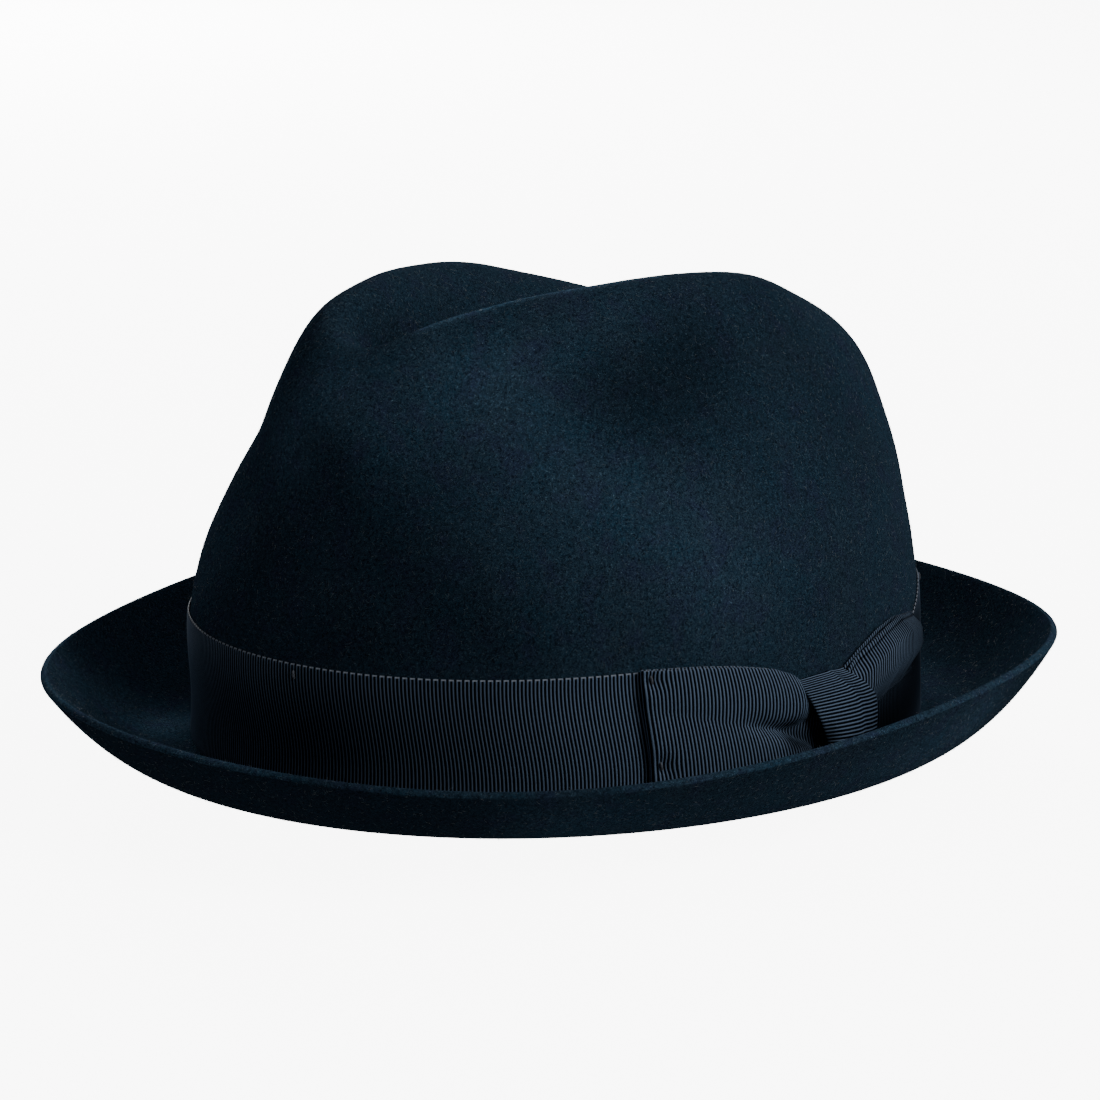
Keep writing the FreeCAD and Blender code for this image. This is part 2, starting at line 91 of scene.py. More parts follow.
# How far the band's top edge dips under the bow: distances ahead of the bow, and the dip at each.
BAND_DIP = (
    (-75, -56, -36, -26, -17, -9, 6, 13, 19, 29, 45),
    (0, 5.5, 3.6, 4.4, 7, 10, 11, 8, 5.4, 2.6, 0),
)

SWEATBAND_HALF_WIDTH = 84.2
SWEATBAND_HALF_LENGTH = 100.2
SWEATBAND_FOOT = 2.7
SWEATBAND_HEIGHT = 35.0
SWEATBAND_LEAN = 5.0
SWEATBAND_THICKNESS = 0.9
REED_INSET = 0.5
REED_LEVEL = 1.3
REED_RADIUS = 0.8
STITCH_COUNT = 120
STITCH_HEIGHT = 5.0
INNER_BOW_HEIGHT = 14
LABEL_HALF_LENGTH = 12
LABEL_FOOT = 17
LABEL_WIDTH = 14
LINING_DEPTH = 3.65
LINING_FOOT = 31.0
SEAM_BELOW_CREST = 0.06
SEAM_GAP = 0.03

# Rings of the crown from the brim to the crease, as shares of the head's half width, its half
# length and the crown's height: half width, front reach, back reach, height, rise towards the
# front, rise along the middle line, depth of the front dents, share of the crown's lean.
CROWN_RINGS = np.array((
    (1.000, 1.000, 1.000, 0.019, 0.000, 0.000, 0.00, 0.00),
    (0.996, 0.996, 0.996, 0.127, 0.000, 0.000, 0.00, 0.00),
    (0.957, 1.018, 1.002, 0.314, 0.000, 0.000, 0.01, 0.00),
    (0.936, 0.925, 0.940, 0.538, 0.000, 0.000, 0.03, 0.00),
    (0.842, 0.854, 0.894, 0.714, 0.000, 0.000, 0.21, 0.15),
    (0.647, 0.830, 0.770, 0.889, -0.013, -0.032, 0.22, 0.60),
    (0.417, 0.713, 0.608, 0.996, 0.059, -0.055, 0.25, 1.00),
    (0.229, 0.613, 0.510, 0.925, 0.043, -0.038, 0.25, 0.55),
    (0.040, 0.440, 0.350, 0.800, 0.000, 0.000, 0.00, 0.00),
))
CREST_RING = 6
RING_SPACING_POWER = 0.7
DENT_ANGLE = 41.8
DENT_SPREAD = 24.0
LEAN_SIDE = 4.2
LEAN_TWIST = -3.9
LEAN_SHIFT = 1.4
FRONT_DIP = 5.3
FRONT_DIP_ANGLE = 7.8
FRONT_DIP_SPREAD = 28.0

# The crown's slight unevenness, and the height from which it and the worn shapes fade in.
RIPPLE_DEPTH = 0.35
RIPPLE_LENGTH = 34
RELIEF_FROM = 45
RELIEF_FADE = 20

# Soft shapes worn into the crown: a line from one point to another, how far its effect reaches, and
# how far the felt stands out there, or sinks in if negative.
WORN_SHAPES = (
    ((66, -9, 91), (66, -9, 91), 20, -3.2),
    ((12, -84, 98), (60, -66, 50), 14, 2.6),
)

# Painted light and shade on the felt's outer face and on its inner face, paler, or darker if
# negative: a line from one point to another, how far the change reaches, and its strength.
PAINTED_LIGHT_OUTSIDE = (
    ((34, -54, 106), (54, -44, 93), 16, 0.50),
    ((68, -28, 78), (82, -8, 56), 18, 0.38),
    ((45, -15, 119), (40, -40, 112), 11, 0.25),
    ((58, -2, 110), (60, -20, 103), 15, -0.52),
    ((39, -74, 75), (62, -70, 44), 16, -0.42),
    ((44, -86, 42), (30, -92, 44), 10, -0.35),
    ((8, -93, 55), (30, -90, 52), 16, -0.30),
    ((1, -85, 88), (6, -82, 101), 12, 0.65),
    ((-23, -94, 52), (-15, -92, 66), 10, 0.35),
    ((66, 48, 84), (50, 34, 115), 18, -0.25),
    ((-58, -93, 3), (-74, -108, 15), 20, 0.75),
    ((-54, -88, 2), (-50, -96, 3), 9, 0.50),
    ((30, 128, 11), (-20, 136, 15), 25, -0.50),
    # A painted highlight along the near crest, in three pieces.
    ((37, 2, 128), (33.5, -17, 127), 2.4, 1.00),
    ((32.5, -21, 126.5), (25.5, -37, 123.8), 2.4, 1.10),
    ((24, -41, 123), (16.5, -57, 118.2), 2.4, 1.00),
    ((-8, -15, 116), (-4, -50, 110), 9, -0.35),
    ((60, -118, 20), (98, -68, 20), 14, -0.65),
    ((26, 0, 120), (10, -52, 112), 7, -0.60),
)
PAINTED_LIGHT_INSIDE = (
    ((92, -70, 10), (106, 50, 14), 20, 1.00),
)

# Painted shade: the inner face is darker all over by this much. The ribbons have painted shade of their own.
UNDER_SHADE = -0.55
PAINTED_SHADE_RIBBON = (
    ((55, -80, 20), (40, -92, 20), 24, -0.60),
    ((0, -97, 20), (20, -96, 20), 20, -0.35),
    ((82, 46, 8), (60, 78, 14), 12, -2.60),
    ((64, 73, 26), (55, 82, 30), 8, -1.50),
    ((91, 16, 14), (92.5, 7, 16.5), 3.4, -2.20),
    ((72, 61, 31), (67, 68, 28), 9, -0.80),
    ((85, 26, 10), (90, 16, 8), 4.0, -0.50),
)

# The cut edge of the brim is paler by this much.
EDGE_PALENESS = 0.40

# Fibres lie on the outer face, on the cut edge, and under the brim this far from the hat's middle.
FIBRE_COUNT = 17000
UNDER_FIBRES_FROM = 108

# A small step in place or angle, for slopes on the crown's surface.
STEP = 1e-3


# ---- curves and surfaces


def natural_spline(knots, values):
    """A smooth curve through rows of values, as a function of the place along the knots."""
    gaps = np.diff(knots)
    slopes = np.diff(values, axis=0) / gaps[:, None]
    system = np.diag(np.concatenate([[1], 2 * (gaps[:-1] + gaps[1:]), [1]]))
    system += np.diag(np.append(gaps[:-1], 0), -1) + np.diag(np.append(0, gaps[1:]), 1)
    right = np.zeros_like(values)
    right[1:-1] = 6 * np.diff(slopes, axis=0)
    bend = np.linalg.solve(system, right)

    def curve(place):
        place = np.clip(np.asarray(place, float), knots[0], knots[-1])
        i = np.clip(np.searchsorted(knots, place, side="right") - 1, 0, len(gaps) - 1)
        gap = gaps[i][..., None]
        after = (place - knots[i])[..., None]
        before = gap - after
        straight = (values[i] / gap - bend[i] * gap / 6) * before
        straight += (values[i + 1] / gap - bend[i + 1] * gap / 6) * after
        return straight + (bend[i] * before**3 + bend[i + 1] * after**3) / (6 * gap)

    return curve


def crown_table():
    """The ring table in millimetres, and each ring's place between 0 and 1."""
    table = CROWN_RINGS.copy()
    table[:, 0] *= HEAD_HALF_WIDTH
    table[:, 1:3] *= HEAD_HALF_LENGTH
    table[:, 3:6] *= CROWN_HEIGHT
    table[:, 6] *= table[:, 0]
    step = np.diff(table, axis=0)
    gaps = np.sqrt((step[:, 0] ** 2 + step[:, 1] ** 2) / 2 + step[:, 3] ** 2)
    places = np.concatenate([[0.0], np.cumsum(gaps**RING_SPACING_POWER)])
    return table, places / places[-1]


RING_TABLE, RING_PLACES = crown_table()
crown_columns = natural_spline(RING_PLACES, RING_TABLE)
HEIGHT_PLACES = np.linspace(0, RING_PLACES[CREST_RING - 2], 600)
WALL_HEIGHTS = crown_columns(HEIGHT_PLACES)[:, 3]


def bell(offset, spread):
    """1 where there is no offset, falling softly to 0 past the spread."""
    return np.exp(-((offset / spread) ** 2))


def crown_surface(place, angle):
    """Points on the felt's outer face: place 0 is the brim, 1 is the bottom of the crease."""
    width, front, back, level, rise, middle, dent, lean = np.moveaxis(crown_columns(place), -1, 0)
    sine, cosine = np.sin(angle), np.cos(angle)
    turn = np.degrees(np.arctan2(sine, cosine))
    bump = bell(np.abs(turn) - DENT_ANGLE, DENT_SPREAD)
    lean = np.clip(lean, 0, 1)
    x = (width - dent * bump) * sine + LEAN_SHIFT * lean
    y = HEAD_SETBACK - np.where(cosine > 0, front, back) * cosine
    z = level + rise * cosine + middle * np.cos(2 * angle)
    dip = FRONT_DIP * bell(turn - FRONT_DIP_ANGLE, FRONT_DIP_SPREAD)
    z = z + lean * (LEAN_SIDE * sine + LEAN_TWIST * np.sin(2 * angle) - dip)
    return np.stack(np.broadcast_arrays(x, y, z), -1)


def unit(vectors):
    return vectors / np.maximum(np.linalg.norm(vectors, axis=-1, keepdims=True), 1e-12)


def crown_normal(place, angle):
    along = crown_surface(np.clip(place + STEP, 0, 1), angle)
    along = along - crown_surface(np.clip(place - STEP, 0, 1), angle)
    around = crown_surface(place, angle + STEP) - crown_surface(place, angle - STEP)
    return unit(np.cross(around, along))


def wall_point(angle, height, lift):
    """Points beside the crown's wall at a height, outside the felt by lift."""
    place = np.interp(height, WALL_HEIGHTS, HEIGHT_PLACES)
    return crown_surface(place, angle) + crown_normal(place, angle) * np.asarray(lift)[..., None]


def brim_reach(angle):
    fore_aft = np.where(np.cos(angle) > 0, REACH_FRONT, REACH_BACK)
    return REACH_SIDE * np.sin(angle) ** 2 + fore_aft * np.cos(angle) ** 2


def brim_edge_rise(angle):
    """How far the raw edge stands above the flat of the brim, all round the hat."""
    shape = 1 - 0.078 * np.cos(angle) - 0.065 * np.cos(2 * angle) + 0.139 * np.cos(3 * angle)
    return BRIM_RISE * shape


def beside_head(angle, distance, height):
    """Points at a distance outside the head oval."""
    sine, cosine = np.sin(angle), np.cos(angle)
    outward = unit(np.stack([sine / HEAD_HALF_WIDTH, -cosine / HEAD_HALF_LENGTH], -1))
    oval = np.stack([HEAD_HALF_WIDTH * sine, HEAD_SETBACK - HEAD_HALF_LENGTH * cosine], -1)
    flat = oval + outward * np.asarray(distance)[..., None]
    return np.stack(np.broadcast_arrays(flat[..., 0], flat[..., 1], height), -1)


def brim_surface(share, angle):
    """Points on the brim's top face: share 0 is where the flat ring ends, 1 is the raw edge."""
    distance = BRIM_FLAT + (brim_reach(angle) - BRIM_FLAT) * share
    return beside_head(angle, distance, FELT + brim_edge_rise(angle) * share**CURL_POWER)


def ripples(points, wavelength, seed, waves=10):
    """Smooth, gentle unevenness between about -1 and 1 at points in space."""
    random = np.random.default_rng(seed)
    total = np.zeros(points.shape[:-1])
    for _ in range(waves):
        direction = random.normal(size=3)
        direction *= 2 * pi / (wavelength * random.uniform(0.7, 1.6) * np.linalg.norm(direction))
        total += np.sin(points @ direction + random.uniform(0, 2 * pi))
    return total / sqrt(waves)


# ---- mesh building


def make_mesh(name, points, faces, uv=None):
    """A smooth-shaded mesh object from points in millimetres, and its UVs, one for each point."""
    mesh = bpy.data.meshes.new(name)
    mesh.from_pydata((points * MM).tolist(), [], faces)
    mesh.validate()
    mesh.polygons.foreach_set("use_smooth", [True] * len(mesh.polygons))
    if uv is not None:
        corner_points = np.zeros(len(mesh.loops), np.int32)
        mesh.loops.foreach_get("vertex_index", corner_points)
        layer = mesh.uv_layers.new(name="ribbon")
        layer.data.foreach_set("uv", uv[corner_points].astype(np.float32).ravel())
    mesh.update()
    piece = bpy.data.objects.new(name, mesh)
    bpy.context.scene.collection.objects.link(piece)
    return piece


def grid_faces(rows, columns, wrap_rows=False, wrap_columns=False):
    """Four-sided faces over a grid of points numbered row by row."""
    row, column = np.meshgrid(
        np.arange(rows - (not wrap_rows)),
        np.arange(columns - (not wrap_columns)),
        indexing="ij",
    )
    next_row, next_column = (row + 1) % rows, (column + 1) % columns
    corners = [
        row * columns + column,
        row * columns + next_column,
        next_row * columns + next_column,
        next_row * columns + column,
    ]
    return np.stack(corners, -1).reshape(-1, 4).tolist()


def strip_cap(first, columns, flip):
    """Faces that close a ring of points by joining its left side to its right side."""
    half = columns // 2
    faces = [(first, first + 1, first + columns - 1)]
    for i in range(1, half - 1):
        faces.append((first + i, first + i + 1, first + columns - i - 1, first + columns - i))
    faces.append((first + half - 1, first + half, first + half + 1))
    return [face[::-1] if flip else face for face in faces]


def sheet(name, middle, front, back, closed, uv_along=None, uv_across=None, flip=False):
    """A closed solid sheet round a grid of middle points, across by along.

    front and back are how far the two faces stand off the middle. A closed sheet joins its last
    column to its first; an open one gets end faces.
    """
    across, along = middle.shape[:2]
    if closed:
        step_along = np.roll(middle, -1, 1) - np.roll(middle, 1, 1)
    else:
        step_along = np.gradient(middle, axis=1)
    normal = unit(np.cross(step_along, np.gradient(middle, axis=0)))
    if flip:
        normal = -normal
    front_points = middle + normal * np.asarray(front)[..., None]
    back_points = middle - normal * np.asarray(back)[..., None]
    loop = np.concatenate([front_points, back_points[::-1]], 0)
    faces = grid_faces(2 * across, along, True, closed)
    if not closed:
        for i in range(across - 1):
            low, high = i * along, (i + 1) * along
            back_low, back_high = (2 * across - 1 - i) * along, (2 * across - 2 - i) * along
            faces.append((low, high, back_high, back_low))
            end = along - 1
            faces.append((back_low + end, back_high + end, high + end, low + end))
    if flip:
        faces = [face[::-1] for face in faces]
    uv = None
    if uv_along is not None:
        face_uv = np.stack(np.broadcast_arrays(uv_along, uv_across, middle[..., 0])[:2], -1)
        uv = np.concatenate([face_uv, face_uv[::-1]], 0).reshape(-1, 2)
    return make_mesh(name, loop.reshape(-1, 3), faces, uv)


def closed_cup(name, grid):
    """A solid from closed rings that run from the middle of one face to the middle of the other."""
    rows, columns = grid.shape[:2]
    faces = grid_faces(rows, columns, wrap_columns=True)
    faces += strip_cap(0, columns, flip=True)
    faces += strip_cap((rows - 1) * columns, columns, flip=False)
    return make_mesh(name, grid.reshape(-1, 3), faces)


def cord_points(path, radius, sides, closed, plies=2, twist=0.0, relief=0.0):
    """Rings of points round a path. Twisted plies stand out from the cord by relief."""
    step = np.roll(path, -1, 0) - np.roll(path, 1, 0) if closed else np.gradient(path, axis=0)
    forward = unit(step)
    side = unit(np.cross(forward, np.array([0.0, 0.0, 1.0]) + 0.01 * forward[:, [1, 2, 0]]))
    above = np.cross(side, forward)
    length = np.linalg.norm(np.diff(path, axis=0, prepend=path[:1]), axis=1).cumsum()
    turn = (2 * pi * np.arange(sides) / sides)[:, None]
    bulge = 1 + relief * np.abs(np.cos(plies / 2 * (turn - twist * length[None])))
    around = np.cos(turn)[..., None] * side[None] + np.sin(turn)[..., None] * above[None]
    return path[None] + around * (radius * bulge)[..., None]


def cord(name, path, radius, sides, **twisting):
    """A cord that joins up with itself."""
    points = cord_points(path, np.broadcast_to(radius, (1, len(path))), sides, True, **twisting)
    faces = grid_faces(sides, len(path), True, True)
    return make_mesh(name, points.reshape(-1, 3), faces)


def stitches(name, paths, radius):
    """Short lengths of two-ply thread with tapered, closed ends."""
    points, faces, sides = [], [], 8
    for path in paths:
        share = np.linspace(-1, 1, len(path))
        taper = radius * np.sqrt(np.clip(1 - share**6, 0.04, 1))[None]
        rings = cord_points(path, taper, sides, False, twist=3.2, relief=0.35)
        count = len(path)
        first = len(points) * sides * count
        faces += [[first + i for i in face] for face in grid_faces(sides, count, wrap_rows=True)]
        faces.append(tuple(first + i * count for i in range(sides)))
        faces.append(tuple(first + i * count + count - 1 for i in reversed(range(sides))))
        points.append(rings.reshape(-1, 3))
    return make_mesh(name, np.concatenate(points), faces)


def near_lines(points, lines):
    """The sum of soft spots along lines: each has two ends, a reach and a strength."""
    total = np.zeros(points.shape[:-1])
    for start, end, reach, strength in lines:
        line = np.subtract(end, start)
        share = np.clip((points - start) @ line / max(line @ line, 1e-6), 0, 1)
        distance = np.linalg.norm(points - start - share[..., None] * line, axis=-1)
        total += strength * bell(distance, reach)
    return total


def store_painted_light(piece, change):
    """Keep the painted light and shade, how pale or dark the cloth looks at each point, for its material to
    read.
    """
    values = np.exp(change).astype(np.float32).ravel()
    piece.data.attributes.new("painted_light", "FLOAT", "POINT").data.foreach_set("value", values)


def finish_ribbon(piece, material, *nodes):
    """Finish a piece of ribbon, with the painted shade that its place on the hat gives it."""
    points = np.zeros(len(piece.data.vertices) * 3)
    piece.data.vertices.foreach_get("co", points)
    store_painted_light(piece, near_lines(points.reshape(-1, 3) / MM, PAINTED_SHADE_RIBBON))
    finish_piece(piece, "ribbon", material, *nodes)


def finish_piece(piece, slot, material, *nodes, body="hat_body"):
    piece.data.materials.append(material)
    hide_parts(*nodes)
    if body:
        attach(piece, body)


# ---- materials


class Nodes:
    """A short way to build a material's node tree."""

    def __init__(self, name):
        self.material = bpy.data.materials.new(name)
        self.material.use_nodes = True
        self.tree = self.material.node_tree
        self.surface = self.tree.nodes["Principled BSDF"]

    def add(self, kind, inputs=None, **settings):
        node = self.tree.nodes.new("ShaderNode" + kind)
        for key, value in settings.items():
            setattr(node, key, value)
        for key, value in (inputs or {}).items():
            self.set(node.inputs[key], value)
        return node

    def set(self, socket, value):
        if isinstance(value, bpy.types.NodeSocket):
            self.tree.links.new(value, socket)
        else:
            socket.default_value = value

    def math(self, operation, *values):
        return self.add("Math", dict(enumerate(values)), operation=operation).outputs[0]

    def noise(self, vector, scale, detail=2.0, roughness=0.5, distortion=0.0):
        inputs = {"Vector": vector, "Scale": scale, "Detail": detail, "Roughness": roughness}
        return self.add("TexNoise", inputs | {"Distortion": distortion}).outputs["Fac"]

    def wave(self, vector, scale, distortion, direction):
        inputs = {"Vector": vector, "Scale": scale, "Distortion": distortion}
        return self.add("TexWave", inputs, bands_direction=direction).outputs["Fac"]

    def ramp(self, value, low, high, start=0.0, end=1.0):
        """A grey that runs evenly from start to end while the value goes from low to high."""
        node = self.add("ValToRGB", {"Fac": value})
        for element, place, grey in zip(node.color_ramp.elements, (low, high), (start, end)):
            element.position = place
            element.color = (grey, grey, grey, 1)
        return node.outputs["Color"]

    def painted_light(self, colour):
        """The colour made paler or darker by the painted light and shade on the mesh, and that factor
        itself.
        """
        painted_light = self.add("Attribute", attribute_name="painted_light").outputs["Fac"]
        return self.add("VectorMath", {0: colour, 1: painted_light}, operation="MULTIPLY").outputs[0], painted_light

    def mix(self, factor, first, second):
        first, second = ((*c, 1) if isinstance(c, tuple) else c for c in (first, second))
        return self.add("Mix", {0: factor, 6: first, 7: second}, data_type="RGBA").outputs[2]

    def bump(self, height, distance, strength=1.0, normal=None):
        inputs = {"Height": height, "Distance": distance * MM, "Strength": strength}
        if normal is not None:
            inputs["Normal"] = normal
        return self.add("Bump", inputs).outputs["Normal"]

    def object_place(self):
        return self.add("TexCoord").outputs["Object"]

    def uv(self):
        separate = self.add("SeparateXYZ", {0: self.add("TexCoord").outputs["UV"]})
        return separate.outputs["X"], separate.outputs["Y"]

    def finish(self, colour, roughness, normal, **others):
        self.set(self.surface.inputs["Base Color"], colour)
        self.set(self.surface.inputs["Roughness"], roughness)
        self.set(self.surface.inputs["Normal"], normal)
        for key, value in others.items():
            self.set(self.surface.inputs[key.replace("_", " ")], value)
        return self.material


FELT_DARK = (0.0020, 0.0038, 0.0072)
FELT_TEAL = (0.0120, 0.0340, 0.0570)
FELT_GREY = (0.0175, 0.0340, 0.0530)
FELT_PLUM = (0.0170, 0.0260, 0.0560)
FELT_FLECK = (0.078, 0.135, 0.185)


def felt_material():
    """Wool felt: matted fibres, mottled navy with paler flecks and a soft nap."""
    n = Nodes("wool_felt")
    place = n.object_place()
    cloud = n.noise(place, 70, 4, 0.65)
    tint = n.noise(place, 140, 3, 0.6)
    matted = n.noise(place, 1400, 5, 0.8, 0.8)
    fibre = n.noise(place, 2300, 2, 0.7, 2.5)
    wool = n.mix(n.ramp(cloud, 0.38, 0.62), FELT_TEAL, FELT_GREY)
    wool = n.mix(n.ramp(tint, 0.50, 0.66, end=0.8), wool, FELT_PLUM)
    colour = n.mix(n.ramp(matted, 0.38, 0.64, 1, 0), wool, FELT_DARK)
    colour = n.mix(n.ramp(fibre, 0.58, 0.74), colour, FELT_FLECK)
    # Painted light and shade stored on the mesh make the felt paler or darker in places.
    colour, _ = n.painted_light(colour)
    normal = n.bump(fibre, 0.3, normal=n.bump(matted, 0.5))
    return n.finish(
        colour, 1.0, normal,
        Specular_IOR_Level=0.0, Sheen_Weight=0.035, Sheen_Roughness=0.35, Sheen_Tint=(0.5, 0.7, 1.0, 1),
    )


# Painted shade in the grooves between the ribs, and the looped edge's own colour.
RIBBON_GROOVE_SHADE = (0.0010, 0.0014, 0.0024)
RIBBON_LOOP = (0.105, 0.120, 0.145)


def ribbon_material():
    """Grosgrain: raised ribs of silky yarn with painted shade in the grooves. U counts ribs, V runs along
    them.
    """
    n = Nodes("grosgrain")
    along, across = n.uv()
    phase = n.math("FRACT", along)
    from_middle = n.math("ABSOLUTE", n.math("SUBTRACT", phase, 0.5))
    crest = n.ramp(from_middle, 0.12, 0.27, 1, 0)
    yarn_place = {"X": n.math("MULTIPLY", along, 6.0), "Y": n.math("MULTIPLY", across, 9.0)}
    yarn = n.noise(n.add("CombineXYZ", yarn_place).outputs[0], 1.0, 2, 0.6)
    patch = n.noise(n.object_place(), 60, 2)
    silk = n.mix(yarn, (0.042, 0.066, 0.105), (0.095, 0.135, 0.200))
    pair = n.math("FRACT", n.math("MULTIPLY", along, 0.5))
    loop = n.math("LESS_THAN", n.math("ABSOLUTE", n.math("SUBTRACT", pair, 0.5)), 0.3)
    at_edge = n.math("GREATER_THAN", across, RIBBON_WIDTH - LOOP_LENGTH)
    loop = n.math("MULTIPLY", loop, at_edge)
    silk = n.mix(n.math("MULTIPLY", patch, 0.4), silk, (0.018, 0.034, 0.062))
    # Painted shade fills the grooves; the crests keep the silk's colour.
    colour = n.mix(crest, RIBBON_GROOVE_SHADE, silk)
    # Painted shade stored on the mesh darkens the ribbon where the hat shades it.
    colour, painted_light = n.painted_light(colour)
    colour = n.mix(loop, colour, RIBBON_LOOP)
    normal = n.bump(yarn, 0.05, 0.6)
    shine = n.math("MULTIPLY", n.math("MULTIPLY", crest, painted_light), 0.12)
    return n.finish(colour, 0.6, normal, Specular_IOR_Level=shine)


def thread_material(name, colour):
    n = Nodes(name)
    twist = n.noise(n.object_place(), 2500, 2)
    shade = n.mix(twist, tuple(c * 0.6 for c in colour), tuple(min(1, c * 1.3) for c in colour))
    return n.finish(shade, 0.6, n.bump(twist, 0.08), Sheen_Weight=0.2)


def leather_material():
    """Smooth calf leather, darker where it has been handled."""
    n = Nodes("sweatband_leather")
    place = n.object_place()
    cells = n.add("TexVoronoi", {"Vector": place, "Scale": 900.0}, feature="DISTANCE_TO_EDGE")
    from_crease = cells.outputs["Distance"]
    crease = n.ramp(from_crease, 0.0, 0.12)
    worn = n.noise(place, 35, 4, 0.6)
    colour = n.mix(worn, (0.085, 0.042, 0.022), (0.15, 0.080, 0.045))
    colour = n.mix(n.ramp(from_crease, 0.0, 0.05, 1, 0), colour, (0.05, 0.025, 0.013))
    rough = n.add("MapRange", {"Value": worn, "To Min": 0.38, "To Max": 0.55}).outputs[0]
    return n.finish(colour, rough, n.bump(crease, 0.06, 0.7), Specular_IOR_Level=0.45)


def satin_material(name, dark, light):
    """Satin: fine threads, a soft broad sheen and faint uneven dye."""
    n = Nodes(name)
    place = n.object_place()
    threads = n.wave(place, 900.0, 1.0, "Z")
    dye = n.noise(place, 30, 3)
    colour = n.mix(dye, dark, light)
    return n.finish(
        colour, 0.34, n.bump(threads, 0.03, 0.5),
        Specular_IOR_Level=0.6, Anisotropic=0.5, Sheen_Weight=0.2,
    )


def tape_material(name, dark, light, scale):
    """Plain woven tape."""
    n = Nodes(name)
    place = n.object_place()
    weave = n.math("MULTIPLY", n.wave(place, scale, 0.4, "Z"), n.wave(place, scale, 0.4, "DIAGONAL"))
    return n.finish(n.mix(weave, dark, light), 0.85, n.bump(weave, 0.1, 0.7), Sheen_Weight=0.15)


def reed_material():
    n = Nodes("reed_plastic")
    haze = n.noise(n.object_place(), 120, 3)
    colour = n.mix(haze, (0.50, 0.47, 0.38), (0.62, 0.60, 0.52))
    return n.finish(colour, 0.4, n.bump(haze, 0.05, 0.4), Subsurface_Weight=0.1)


# ---- felt


def felt_outer_rows():
    """Rows of the felt's outer face, from the brim's raw edge in and up to the crease's floor."""
    angle = 2 * pi * np.arange(FELT_COLUMNS) / FELT_COLUMNS
    rows = [brim_surface(share, angle) for share in np.linspace(1, 0, 26)[:-1]]
    flat = np.linspace(BRIM_FLAT, BREAK_RADIUS, 6)[:-1]
    rows += [beside_head(angle, distance, FELT) for distance in flat]
    for turn in np.linspace(0, pi / 2, 6)[:-1]:
        distance = BREAK_RADIUS * (1 - sin(turn))
        rows.append(beside_head(angle, distance, FELT + BREAK_RADIUS * (1 - cos(turn))))
    start = np.interp(FELT + BREAK_RADIUS, WALL_HEIGHTS, HEIGHT_PLACES)
    rows += [crown_surface(place, angle) for place in np.linspace(start, 1, 120)]
    return np.array(rows)


def grid_normals(grid):
    along = np.gradient(grid, axis=0)
    around = np.roll(grid, -1, 1) - np.roll(grid, 1, 1)
    return unit(np.cross(around, along))


def finish_felt(piece, material):
    """Finish a felt piece: its material, the CAD parts it hides, and its transform baked into its mesh."""
    finish_piece(piece, "felt", material, "crown_and_rear_brim", "front_brim", body=None)
    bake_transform(piece)


def build_fibres(surface, normal, material):
    """Loose pale fibres that lie on the felt and stand up a little from it."""
    random = np.random.default_rng(11)
    across, along = np.diff(surface[:, :-1], axis=0), np.diff(surface[:-1], axis=1)
    area = np.linalg.norm(across, axis=-1) * np.linalg.norm(along, axis=-1)
    cell = random.choice(area.size, FIBRE_COUNT, p=area.ravel() / area.sum())
    cell = np.divmod(cell, area.shape[1])
    spread = random.random((FIBRE_COUNT, 2))
    root = surface[cell] + across[cell] * spread[:, :1] + along[cell] * spread[:, 1:]
    up = normal[cell]
    heading = unit(np.cross(up, random.normal(size=(FIBRE_COUNT, 3))))
    side = np.cross(up, heading)
    length = random.uniform(0.5, 1.4, (FIBRE_COUNT, 1))
    rise = random.uniform(0.10, 0.45, (FIBRE_COUNT, 1))
    curl = random.uniform(-0.4, 0.4, (FIBRE_COUNT, 1))
    rings = []
    for share, radius in ((0.0, 0.025), (0.35, 0.025), (0.7, 0.02), (1.0, 0.008)):
        middle = root + heading * length * share + side * curl * share**2
        middle = middle + up * (rise * sin(pi * min(share, 0.6) / 1.2) - 0.05)
        for turn in (0.5, 2.6, 4.7):
            rings.append(middle + radius * (side * cos(turn) + up * sin(turn)))
    points = np.stack(rings, 1).reshape(-1, 3)
    one = [(i + j, i + (j + 1) % 3, i + 3 + (j + 1) % 3, i + 3 + j) for i in (0, 3, 6) for j in range(3)]
    first = (np.arange(FIBRE_COUNT) * 12)[:, None, None]
    faces = (first + np.array(one)[None]).reshape(-1, 4).tolist()
    ends = (first + np.array([(2, 1, 0), (9, 10, 11)])[None]).reshape(-1, 3).tolist()
    piece = make_mesh("felt_fibres", points, faces + ends)
    finish_felt(piece, material)


